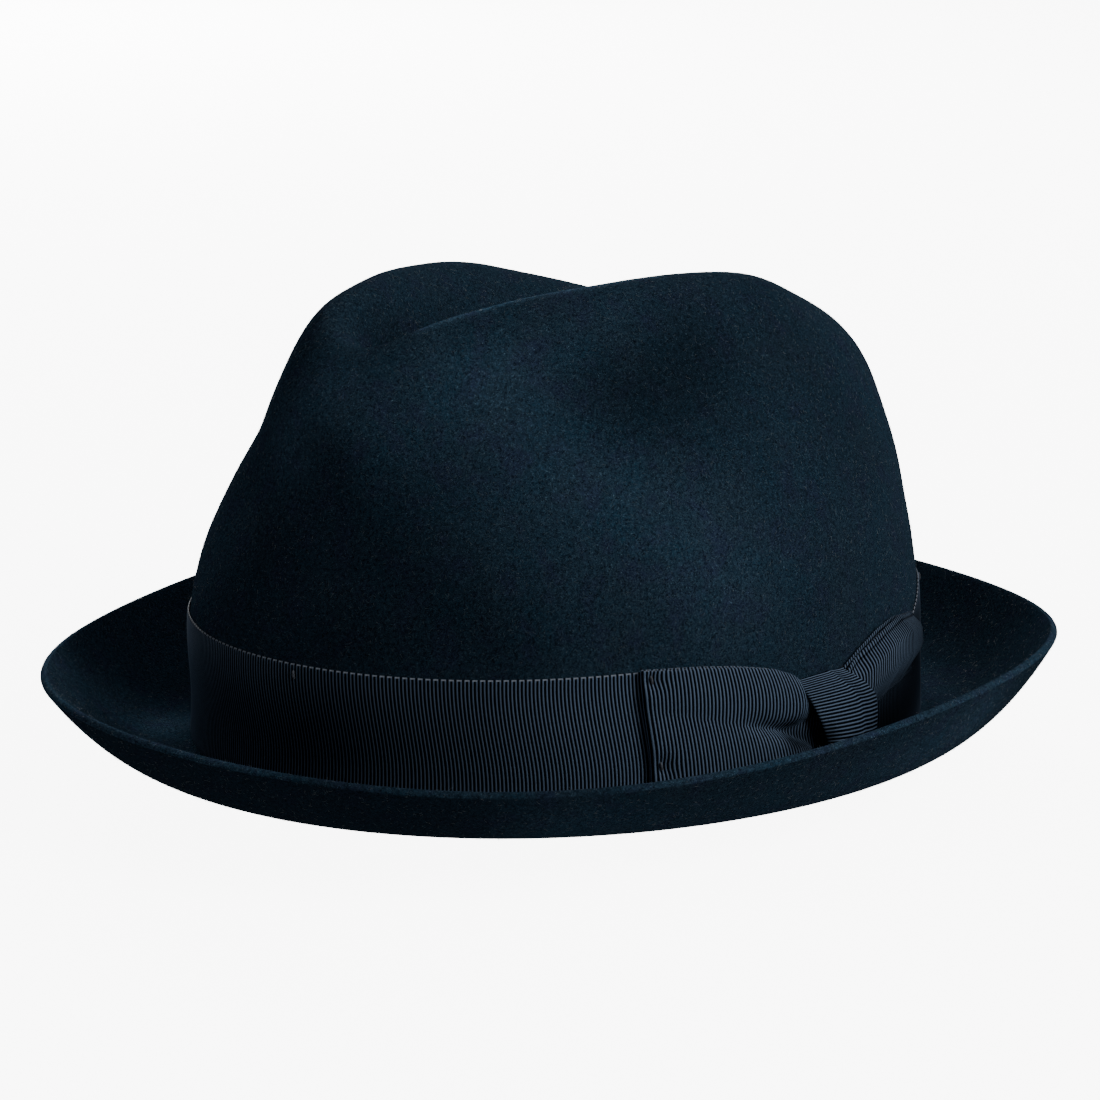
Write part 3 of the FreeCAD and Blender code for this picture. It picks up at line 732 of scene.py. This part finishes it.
def build_felt(material, fibre_material):
    """Crown and brim as one sheet of felt with a rounded raw edge."""
    outer = felt_outer_rows()
    normal = grid_normals(outer)
    above_band = np.clip((outer[..., 2] - RELIEF_FROM) / RELIEF_FADE, 0, 1)
    relief = RIPPLE_DEPTH * ripples(outer, RIPPLE_LENGTH, seed=4) + near_lines(outer, WORN_SHAPES)
    outer = outer + normal * (above_band * relief)[..., None]
    normal = grid_normals(outer)
    inner = outer - normal * FELT
    edge_middle = (outer[0] + inner[0]) / 2
    outward = unit(outer[0] - outer[1])
    across = outer[0] - edge_middle
    turn = np.linspace(-pi / 2, pi / 2, 9)[1:-1, None, None]
    rounding = edge_middle + across * np.sin(turn) + outward * (EDGE_BULGE * np.cos(turn))
    piece = closed_cup("felt_hat_body", np.concatenate([inner[::-1], rounding, outer], 0))
    # Painted light and shade for each face; the cut edge takes the outer face's, and is paler too.
    outer_light = near_lines(outer, PAINTED_LIGHT_OUTSIDE)
    inner_light = near_lines(inner, PAINTED_LIGHT_INSIDE) + UNDER_SHADE
    edge_tone = outer_light[:1] + EDGE_PALENESS + np.zeros(rounding.shape[:-1])
    store_painted_light(piece, np.concatenate([inner_light[::-1], edge_tone, outer_light], 0))
    finish_felt(piece, material)
    under_brim = inner[np.linalg.norm(inner[..., :2], axis=-1).mean(1) > UNDER_FIBRES_FROM]
    hairy = np.concatenate([under_brim[::-1], rounding, outer], 0)
    build_fibres(hairy, grid_normals(hairy), fibre_material)


# ---- ribbon


def arc_table():
    """Distance along the band from the middle of the bow, positive forwards, against angle."""
    angle = np.linspace(BOW_ANGLE, BOW_ANGLE - 2 * pi, 4001)
    points = wall_point(angle, (BAND_LOW + BAND_HIGH) / 2, 0.8)
    steps = np.linalg.norm(np.diff(points, axis=0), axis=1)
    return np.concatenate([[0], np.cumsum(steps)]), angle


ARC_LENGTHS, ARC_ANGLES = arc_table()
BAND_LENGTH = ARC_LENGTHS[-1]


def on_band(arc, height, lift):
    """Points given by distance along the band, height, and distance off the felt."""
    angle = np.interp(np.mod(arc, BAND_LENGTH), ARC_LENGTHS, ARC_ANGLES)
    return wall_point(angle, height, lift)


def rib_places(count):
    """Places along a ribbon, counted in ribs."""
    return (np.arange(count) / RIB_COLUMNS)[None]


def rib_profile(position):
    """Height of the ribs, 0 in a groove and 1 on a crest, at a position counted in ribs."""
    return (0.5 - 0.5 * np.cos(2 * pi * position)) ** 1.2


def ribbon_rows(width):
    """Places across a ribbon, close together at its edges."""
    edge = np.array([0, 0.25, 0.6, 1.1]) / width
    return np.concatenate([edge, np.linspace(0.07, 0.93, 22), 1 - edge[::-1]])[:, None]


def ribbon_faces(across, width, position, ribbed=1.0):
    """How far a ribbon's front and back stand off its middle: ribs, and a looped edge."""
    edge = np.minimum(across, 1 - across) * width
    body = np.clip(edge / 0.4, 0.3, 1)
    selvedge = 0.10 * bell(edge - 0.45, 0.35) * (0.6 + 0.4 * np.cos(2 * pi * position))
    front = body * (0.10 + 0.24 * ribbed * rib_profile(position)) + selvedge
    return front, 0.2 * body


def build_band(material):
    """The ribbon round the foot of the crown, with raised ribs and a looped edge."""
    ribs = round(BAND_LENGTH / RIB_PITCH)
    position = rib_places(ribs * RIB_COLUMNS)
    arc = position * BAND_LENGTH / ribs
    across = ribbon_rows(RIBBON_WIDTH)
    low = BAND_LOW + 0.15 * np.sin(arc / 31)
    ahead = arc - BAND_LENGTH * (arc > BAND_LENGTH / 2)
    high = BAND_HIGH - np.interp(ahead, *BAND_DIP) + 0.18 * np.sin(arc / 23 + 1)
    wander = 0.25 * np.sin(across * 5 + arc / 17)
    middle = on_band(arc + wander, low + (high - low) * across, 0.4 + 0.12 * np.sin(arc / 19 + across * 2))
    front, back = ribbon_faces(across, RIBBON_WIDTH, position)
    piece = sheet("hat_band_ribbon", middle, front, back, True, position, across * RIBBON_WIDTH, flip=True)
    finish_ribbon(piece, material, "hat_band")


def soft_step(low, high, value):
    share = np.clip((value - low) / (high - low), 0, 1)
    return share * share * (3 - 2 * share)


def spot(arc, height, at_arc, at_height, spread):
    return np.exp(-((arc - at_arc) ** 2 + (height - at_height) ** 2) / spread**2)


def folded_wing(name, root, tip, low, high, face_lift, rib_shift):
    """A length of ribbon folded back on itself at the tip, lying on the band.

    low, high, face_lift and rib_shift are functions: the lower and upper edge at a distance along
    the band, how far the front layer stands off the felt, and how far its ribs bend sideways.
    """
    direction, length, under = copysign(1, tip - root), abs(tip - root), 1.15
    tip_gap = float(face_lift(tip, (low(tip) + high(tip)) / 2)) - under
    fold_ribs, face_ribs = 3, round(length / RIB_PITCH)
    turn = np.linspace(-pi / 2, pi / 2, fold_ribs * RIB_COLUMNS + 1)[1:-1]
    under_way = np.linspace(3, length, 16)
    face_way = np.linspace(length, 0, face_ribs * RIB_COLUMNS + 1)
    way = np.concatenate([under_way, length + tip_gap / 2 * np.cos(turn), face_way])[None]
    face = np.concatenate([0 * under_way, 0.5 + 0.5 * np.sin(turn), 0 * face_way + 1])[None]
    ribs_on = np.concatenate([0 * under_way, 0 * turn + 1, 0 * face_way + 1])[None]
    fold_position = length - 3 + np.arange(1, len(turn) + 1) / RIB_COLUMNS
    face_position = fold_position[-1] + 1 / RIB_COLUMNS + np.arange(len(face_way)) / RIB_COLUMNS
    position = np.concatenate([under_way - 3, fold_position, face_position])[None]
    width = high(tip) - low(tip)
    across = ribbon_rows(width)
    arc = root + direction * way + 0 * across
    height = low(arc) + (high(arc) - low(arc)) * across
    lift = under + (face_lift(arc, height) - under) * face
    middle = on_band(arc + rib_shift(arc, height) * face, height, lift)
    front, back = ribbon_faces(across, width, position, ribs_on)
    return sheet(name, middle, front, back, False, position, across * width, flip=direction < 0)


def build_front_wing(material):
    """The long wing: two puffed lobes either side of a deep pleat that runs out from the knot."""

    def high(arc):
        places = (3.5, 5.6, 9, 13.1, 18.9, 28.7, 40, 55.6)
        return np.interp(arc, places, (19.7, 24.2, 28.4, 31.4, 33.9, 36, 37.4, 38.3))

    def low(arc):
        return np.interp(arc, (3.5, 10, 20, 36, 55.6), (12.0, 8.5, 5.6, 3.9, 3.5))

    def pleat(arc):
        return 14.0 + (arc - 4) * 0.28

    def above_pleat(arc, height):
        return np.clip((height - pleat(arc)) / np.maximum(high(arc) - pleat(arc), 1), 0, 1)

    def face_lift(arc, height):
        base = np.interp(arc, (3.5, 8, 14, 24, 34, 46, 55.5), (2.4, 3.1, 3.8, 4.0, 3.8, 3.5, 3.1))
        crease = pleat(arc)
        upper = above_pleat(arc, height)
        lower = np.clip((crease - height) / np.maximum(crease - low(arc), 1), 0, 1)
        lobe = np.sin(pi * np.maximum(upper, lower)) ** 0.7
        puff = np.interp(arc, (4, 10, 18, 34, 55), (1.5, 2.3, 1.7, 0.7, 0.35))
        depth = np.interp(arc, (4, 12, 20, 30), (4.8, 4.4, 2.2, 0.0))
        narrow = np.interp(arc, (4, 12, 20, 30), (3.2, 2.4, 1.6, 2.5))
        groove = depth * bell(height - crease, narrow)
        tacked = 1.4 * (spot(arc, height, 53.6, 35.8, 2.4) + spot(arc, height, 53.2, 13.8, 2.4))
        rounded = 2.6 * soft_step(14, 6, arc + 0.35 * (height - 24)) * (height > crease)
        sunk = 1.7 * soft_step(20, 7, arc) * soft_step(1, -2, height - crease)
        return np.maximum(base + puff * lobe - groove - tacked - rounded - sunk, 1.55)

    def rib_shift(arc, height):
        near = np.clip((56 - arc) / 44, 0, 1)
        below = np.clip(pleat(arc) - height, 0, 20)
        shift = -1.3 * near * np.sin(pi * above_pleat(arc, height)) - 0.22 * near * below
        pulled = 0.45 * (spot(arc, height, 51.0, 35.8, 2.2) + spot(arc, height, 50.6, 13.8, 2.2))
        return shift + pulled

    piece = folded_wing("bow_front_wing_ribbon", *FRONT_WING, low, high, face_lift, rib_shift)
    finish_ribbon(piece, material, "bow_front_wing")


def build_rear_wing(material):
    """The short wing, which rises towards the back and turns in along both edges."""

    def high(arc):
        return np.interp(-arc, (5, 9.5, 16.9, 26.1, 36.1, 52.8), (26.5, 29.2, 32.3, 35.2, 36.4, 33.9))

    def low(arc):
        return np.interp(-arc, (5, 12, 20, 30, 50), (12.0, 12.8, 15.2, 18.0, 19.5))

    def face_lift(arc, height):
        base = np.interp(-arc, (5, 10, 16, 26, 38, 50), (2.6, 3.5, 4.6, 5.2, 5.0, 3.6))
        share = np.clip((height - low(arc)) / (high(arc) - low(arc)), 0, 1)
        turned = 3.2 * soft_step(0.5, 0, share) + 2.6 * soft_step(0.72, 1.0, share) * soft_step(6, 14, -arc)
        return np.maximum(base + 0.9 * np.sin(pi * share) ** 0.8 - turned, 1.7)

    def rib_shift(arc, height):
        middle = (low(arc) + high(arc)) / 2
        return -0.28 * (height - middle) * np.interp(-arc, (5, 20, 50), (0.3, 1, 0.6))

    piece = folded_wing("bow_rear_wing_ribbon", *REAR_WING, low, high, face_lift, rib_shift)
    finish_ribbon(piece, material, "bow_rear_wing")


def build_knot(material):
    """The strip wrapped slantwise round the middle of the bow. Its ribs run across it."""
    levels = (3.5, 8, 12.5, 17, 21, 25, 28, 29.6)
    ahead = (2.5, 3.6, 4.8, 6.4, 8.1, 9.9, 11.4, 12.2)
    behind = (-12.5, -14.2, -15.2, -16.0, -15.9, -11.6, -7.2, -5.4)
    position = rib_places(KNOT_RIBS * RIB_COLUMNS + 1)
    share = position / KNOT_RIBS
    across = ribbon_rows(KNOT_WIDTH)
    height = KNOT_TOP - KNOT_DROP * soft_step(0.0, 1.0, share * 0.86 + 0.07)
    front_edge = np.interp(height, levels, ahead)
    rear_edge = np.interp(height, levels, behind)
    arc = front_edge + (rear_edge - front_edge) * across
    height = height - 1.5 * (across - 0.5) * np.clip((share - 0.15) * 2, 0, 1)
    height = height - 1.2 * np.sin(pi * across) * (share - 0.35)
    rounded = np.sin(pi * np.clip(share, 0.0, 1)) ** 0.35
    lift = 2.2 + 3.9 * rounded + 0.9 * np.sin(pi * across) ** 0.6
    lift = lift - 0.8 * bell(across - 0.72, 0.07) * soft_step(0.9, 0.3, share)
    middle = on_band(arc, height, lift)
    front, back = ribbon_faces(across, KNOT_WIDTH, position)
    without_loops = across * KNOT_WIDTH + (RIBBON_WIDTH - KNOT_WIDTH) / 2
    piece = sheet("bow_knot_ribbon", middle, front, back, False, position, without_loops)
    finish_ribbon(piece, material, "bow_knot")


def tack_path(arc, height, lift):
    """A short upright stitch whose ends sink into the ribbon."""
    share = np.linspace(-1, 1, 9)
    return on_band(arc + 0.15 * share, height + 1.1 * share, lift + 0.35 * (1 - share**4))


def build_tacks(material):
    """Single stitches that hold the band to the crown and the front wing to the band."""
    on_ribbon, on_wing = 0.75, 2.75
    arcs = np.interp(np.radians(BAND_TACK_ANGLES), ARC_ANGLES[::-1], ARC_LENGTHS[::-1])
    paths = [tack_path(arc, BAND_TACK_HEIGHT, on_ribbon) for arc in arcs]
    piece = stitches("band_tack_thread", paths, 0.26)
    finish_piece(piece, "thread", material, "band_tacks")
    paths = [tack_path(BOW_TACK_ARC, height, on_wing) for height in BOW_TACK_HEIGHTS]
    piece = stitches("bow_tack_thread", paths, 0.28)
    finish_piece(piece, "thread", material, "bow_tacks")


# ---- sweatband


def around(count):
    return 2 * pi * np.arange(count) / count


def round_sweatband(angle, outward, height):
    x = (SWEATBAND_HALF_WIDTH + outward) * np.sin(angle)
    y = HEAD_SETBACK - (SWEATBAND_HALF_LENGTH + outward) * np.cos(angle)
    return np.stack(np.broadcast_arrays(x, y, height), -1)


def beside_sweatband(angle, height, inset):
    """Points inside the sweatband's outer face by inset."""
    drawn_in = SWEATBAND_LEAN * (height - SWEATBAND_FOOT) / SWEATBAND_HEIGHT + inset
    return round_sweatband(angle, -drawn_in, height)


def build_sweatband(material):
    """Leather with a cut top edge, a pressed line below it and a soft, uneven hand."""
    angle = around(720)[None]
    across = np.concatenate([[0, 0.004, 0.012], np.linspace(0.03, 0.97, 48), [0.988, 0.996, 1]])[:, None]
    height = SWEATBAND_FOOT + SWEATBAND_HEIGHT * across + 0.15 * np.sin(5 * angle) * across
    middle = beside_sweatband(angle, height, SWEATBAND_THICKNESS / 2 + 0.12 * np.sin(7 * angle + 1) * across)
    edge = np.minimum(across, 1 - across) * SWEATBAND_HEIGHT
    body = np.sqrt(np.clip(edge / 0.45, 0.12, 1)) * SWEATBAND_THICKNESS / 2
    pressed = 0.14 * bell(height - 35.3, 0.35) + 0.12 * bell(height - 7.2, 0.3)
    crease = 0.05 * ripples(middle, 9, seed=8)
    piece = sheet("sweatband_leather", middle, body, body - (pressed + crease) * (edge > 0.8), True)
    finish_piece(piece, "sweatband_leather", material, "sweatband")


def reed_ring(angle, radius, turn):
    return round_sweatband(angle, radius * np.cos(turn) - REED_INSET, REED_LEVEL + radius * np.sin(turn))


def build_reed(reed, tape):
    angle = around(480)
    path = reed_ring(angle, 0.02 * np.sin(9 * angle), 0.0)
    joined = 0.06 * bell(angle - pi, 0.06)
    piece = cord("reed_cord", path, REED_RADIUS - 0.03 + joined, 16)
    finish_piece(piece, "reed", reed, "sweatband_reed")
    angle = around(960)[None]
    turn = np.linspace(pi - 0.6, 0.6 - pi, 22)[:, None] + 0.05 * np.sin(angle * 37)
    middle = reed_ring(angle, 1.07 + 0.03 * np.sin(angle * 160), turn)
    piece = sheet("reed_cover_tape", middle, 0.09, 0.09, True, flip=True)
    finish_piece(piece, "reed_tape", tape, "reed_cover")


def build_stitching(material):
    """One row of even stitches that holds the leather to the tape."""
    paths = []
    share = np.linspace(-1, 1, 9)
    for index in range(STITCH_COUNT):
        angle = 2 * pi * (index + 0.5) / STITCH_COUNT + 1.35 / 93 * share
        height = STITCH_HEIGHT + 0.12 * share
        paths.append(beside_sweatband(angle, height, SWEATBAND_THICKNESS + 0.10 + 0.26 * (1 - share**4)))
    piece = stitches("sweatband_thread", paths, 0.24)
    finish_piece(piece, "light_thread", material, "sweatband_stitching")


def build_sweatband_bow(material):
    """A little bow over the back seam: two ribbed loops drawn into a wrapped knot."""

    def add_part(index, x, off, z, position, across, flip):
        middle = beside_sweatband(pi, z, SWEATBAND_THICKNESS + off)
        middle[..., 0] = x
        front, back = ribbon_faces(across, 6, position * 1.6)
        uv = position * 1.6, across * 8
        piece = sheet(f"sweatband_bow_{index}", middle, front * 0.5, back * 0.6, False, *uv, flip=flip)
        finish_ribbon(piece, material, "sweatband_bow")

    for index, side in enumerate((-1, 1)):
        ribs = 11
        position = rib_places(2 * ribs * RIB_COLUMNS + 1)
        way = position / ribs
        out = 1 - np.abs(way - 1)
        across = ribbon_rows(8)
        x = side * (1.2 + 10.6 * np.sin(out * pi / 2))
        half_height = 1.3 + 2.7 * soft_step(0, 0.8, out)
        z = INNER_BOW_HEIGHT + half_height * (2 * across - 1) + 0.3 * np.sin(x)
        off = 1.0 + 0.35 * np.sin(pi * out)
        off = off + (way > 1) * 1.1 * np.sin(pi * out) ** 0.5
        off = off + 0.25 * np.cos(across * 9) * (1 - out)
        add_part(index, x, off, z, position, across, side > 0)
    position = rib_places(8 * RIB_COLUMNS + 1)
    across = ribbon_rows(5)
    turn = (position / 8 - 0.5) * pi
    x = 2.4 * (2 * across - 1) * (0.85 + 0.15 * np.abs(np.sin(turn)))
    z = INNER_BOW_HEIGHT + 2.9 * np.sin(turn) + 0 * across
    add_part(2, x, 0.9 + 1.7 * np.cos(turn) ** 0.5, z, position, across, True)


def build_label(material):
    """A small blank woven label with folded ends, tacked flat on the leather."""
    along = np.linspace(-LABEL_HALF_LENGTH, LABEL_HALF_LENGTH, 60)[None]
    across = np.linspace(0, 1, 30)[:, None]
    angle = 1.5 * pi + along / 118
    lifted_corner = 0.25 * (np.abs(along) / LABEL_HALF_LENGTH) ** 6
    height = LABEL_FOOT + LABEL_WIDTH * across + 0.1 * np.sin(along)
    middle = beside_sweatband(angle, height, SWEATBAND_THICKNESS + 0.35 + lifted_corner)
    edge = np.minimum(across, 1 - across) * LABEL_WIDTH
    folded = 0.16 * soft_step(9.6, 9.9, np.abs(along))
    thick = 0.13 * np.clip(edge / 0.3, 0.4, 1)
    weave = 0.02 * np.sin(along * 12) * np.sin(across * 160)
    piece = sheet("size_label_tape", middle, thick, thick + folded + weave, False)
    finish_piece(piece, "label_tape", material, "size_label")


# ---- lining


SEAM_PLACE = RING_PLACES[CREST_RING] - SEAM_BELOW_CREST


def inside_crown(place, angle, depth):
    """Points inside the crown, which stay clear of the places where the felt sinks in."""
    surface = crown_surface(place, angle)
    depth = depth - np.minimum(near_lines(surface, WORN_SHAPES), 0)
    return surface - crown_normal(place, angle) * depth[..., None]


def build_lining_side(material):
    """The side of the lining, gathered into the seam and hemmed along its lower edge."""
    angle = around(720)[None]
    foot = np.interp(LINING_FOOT, WALL_HEIGHTS, HEIGHT_PLACES)
    share = np.concatenate([[0, 0.004, 0.012, 0.03, 0.045, 0.055], np.linspace(0.07, 1, 44)])[:, None]
    place = foot + (SEAM_PLACE - SEAM_GAP / 2 - foot) * share
    gathers = 0.30 * np.cos(52 * angle + 2 * np.sin(3 * angle)) * share**3
    slack = 0.5 * ripples(crown_surface(place, angle), 55, seed=3) * np.sin(pi * share)
    middle = inside_crown(place + 0 * angle, angle + 0 * place, LINING_DEPTH + 0.2 + gathers + slack)
    hem = 0.18 * (share < 0.05) + 0 * angle
    piece = sheet("lining_side_satin", middle, 0.2 + hem, 0.2 + hem, True)
    finish_piece(piece, "satin", material, "lining_side")


def build_lining_tip(material):
    """The top of the lining, which hangs free below the crease in soft radial folds."""
    angle = around(360)
    rim = inside_crown(SEAM_PLACE + SEAM_GAP / 2, angle, LINING_DEPTH)
    level = CROWN_HEIGHT * 0.8 - FELT - 9
    share = np.linspace(1, 0.06, 40)[:, None]
    height = level + (rim[:, 2] - level) * share**2.5
    height = height + 0.35 * np.cos(40 * angle + 2 * np.sin(2 * angle)) * share**8
    height = height + 0.5 * np.sin(3 * angle + 4 * share) * share * (1 - share)
    below, above = (
        np.stack([rim[:, 0] * share, rim[:, 1] * share, height + side], -1) for side in (-0.22, 0.22)
    )
    piece = closed_cup("lining_tip_satin", np.concatenate([below[::-1], above]))
    finish_piece(piece, "satin", material, "lining_tip")


def build_piping(material):
    """A corded edge in the seam between the lining's side and top."""
    angle = around(900)
    path = inside_crown(SEAM_PLACE, angle, LINING_DEPTH)
    piece = cord("lining_piping_cord", path, 0.55, 14, plies=4, twist=1.6, relief=0.22)
    finish_piece(piece, "piping", material, "lining_piping")


# ---- scene


# The floor's own colour, the light it gives the hat, the glow that the camera sees, and its height.
FLOOR_COLOUR = (0.16, 0.17, 0.18)
FLOOR_LIFT = 0.30
FLOOR_GLOW = 8.0
FLOOR_LEVEL = -11

# Metres from the hat to each light.
LIGHT_DISTANCE = 1.6


def direction(azimuth, elevation):
    """The way from the hat at degrees round from its front and degrees up."""
    a, e = radians(azimuth), radians(elevation)
    return Vector((sin(a) * cos(e), -cos(a) * cos(e), sin(e)))


def build_stage():
    """A floor that leaves the snapped brim room below the hat.

    The camera sees it glow white from above and sees through it from below. It throws little light
    back up, so that undersides stay dark, and gives off enough to show the inside of the hat.
    """
    bpy.ops.mesh.primitive_plane_add(size=8)
    floor = bpy.context.object
    floor.name = "studio_floor"
    floor.location.z = FLOOR_LEVEL * MM
    n = Nodes("pale_floor")
    haze = n.noise(n.object_place(), 3, 2)
    seen = n.mix(haze, (0.80, 0.80, 0.80), (0.82, 0.82, 0.82))
    from_camera = n.add("LightPath").outputs["Is Camera Ray"]
    colour = n.mix(from_camera, FLOOR_COLOUR, seen)
    reach = {"Value": from_camera, "To Min": FLOOR_LIFT, "To Max": FLOOR_GLOW}
    glow = n.add("MapRange", reach).outputs[0]
    from_below = n.add("NewGeometry").outputs["Backfacing"]
    n.set(n.surface.inputs["Alpha"], n.math("SUBTRACT", 1.0, n.math("MULTIPLY", from_camera, from_below)))
    n.set(n.surface.inputs["Emission Color"], (1, 1, 1, 1))
    n.set(n.surface.inputs["Emission Strength"], glow)
    floor.data.materials.append(n.finish(colour, 0.9, n.bump(haze, 0.01, 0.1), Specular_IOR_Level=0.1))


def add_area_light(name, azimuth, elevation, size, power):
    """A soft light at a direction round the hat, aimed at the middle of the crown."""
    away = direction(azimuth, elevation)
    data = bpy.data.lights.new(name, "AREA")
    data.shape = "DISK"
    data.size = size
    data.energy = power
    lamp = bpy.data.objects.new(name, data)
    lamp.location = Vector((0, 0, 0.06)) + away * LIGHT_DISTANCE
    lamp.rotation_euler = away.to_track_quat("Z", "Y").to_euler()
    bpy.context.scene.collection.objects.link(lamp)


def build_lights():
    world = bpy.data.worlds.new("studio")
    bpy.context.scene.world = world
    world.use_nodes = True
    sky = world.node_tree.nodes["Background"]
    sky.inputs["Color"].default_value = (0.95, 0.97, 1.0, 1)
    sky.inputs["Strength"].default_value = 0.30
    add_area_light("key", 110, 32, 0.9, 27)
    add_area_light("back", 190, 40, 0.9, 4.5)
    add_area_light("rim", 246, 15, 0.5, 26)


CAMERA_AZIMUTH = 51.78
CAMERA_ELEVATION = 14.35
CAMERA_DISTANCE = 1.3237
CAMERA_ROLL = 0.53
CAMERA_LENS = 162.0
CAMERA_SHIFT = (-0.01, -0.0085)


def build_camera():
    away = direction(CAMERA_AZIMUTH, CAMERA_ELEVATION)
    data = bpy.data.cameras.new("camera")
    data.lens = CAMERA_LENS
    data.shift_x, data.shift_y = CAMERA_SHIFT
    camera = bpy.data.objects.new("camera", data)
    look = away.to_track_quat("Z", "Y").to_matrix().to_4x4()
    roll = Matrix.Rotation(radians(CAMERA_ROLL), 4, "Z")
    target = Matrix.Translation(Vector((0, HEAD_SETBACK * MM, 0.05)) + away * CAMERA_DISTANCE)
    camera.matrix_world = target @ look @ roll
    bpy.context.scene.collection.objects.link(camera)
    bpy.context.scene.camera = camera


NAVY_THREAD = (0.012, 0.018, 0.030)
TAN_THREAD = (0.30, 0.20, 0.11)
WOOL_FIBRE = (0.026, 0.044, 0.058)

ribbon = ribbon_material()
satin = satin_material("lining_satin", (0.012, 0.022, 0.050), (0.022, 0.038, 0.080))
build_felt(felt_material(), thread_material("loose_wool", WOOL_FIBRE))
build_band(ribbon)
build_front_wing(ribbon)
build_rear_wing(ribbon)
build_knot(ribbon)
build_tacks(thread_material("navy_thread", NAVY_THREAD))
build_sweatband(leather_material())
build_reed(reed_material(), tape_material("black_tape", (0.004, 0.004, 0.005), (0.03, 0.03, 0.034), 600))
build_stitching(thread_material("tan_thread", TAN_THREAD))
build_sweatband_bow(ribbon)
build_label(tape_material("label_tape", (0.30, 0.29, 0.25), (0.55, 0.54, 0.50), 700))
build_lining_side(satin)
build_lining_tip(satin)
build_piping(satin_material("piping_satin", (0.02, 0.03, 0.06), (0.04, 0.055, 0.10)))
build_stage()
build_lights()
build_camera()
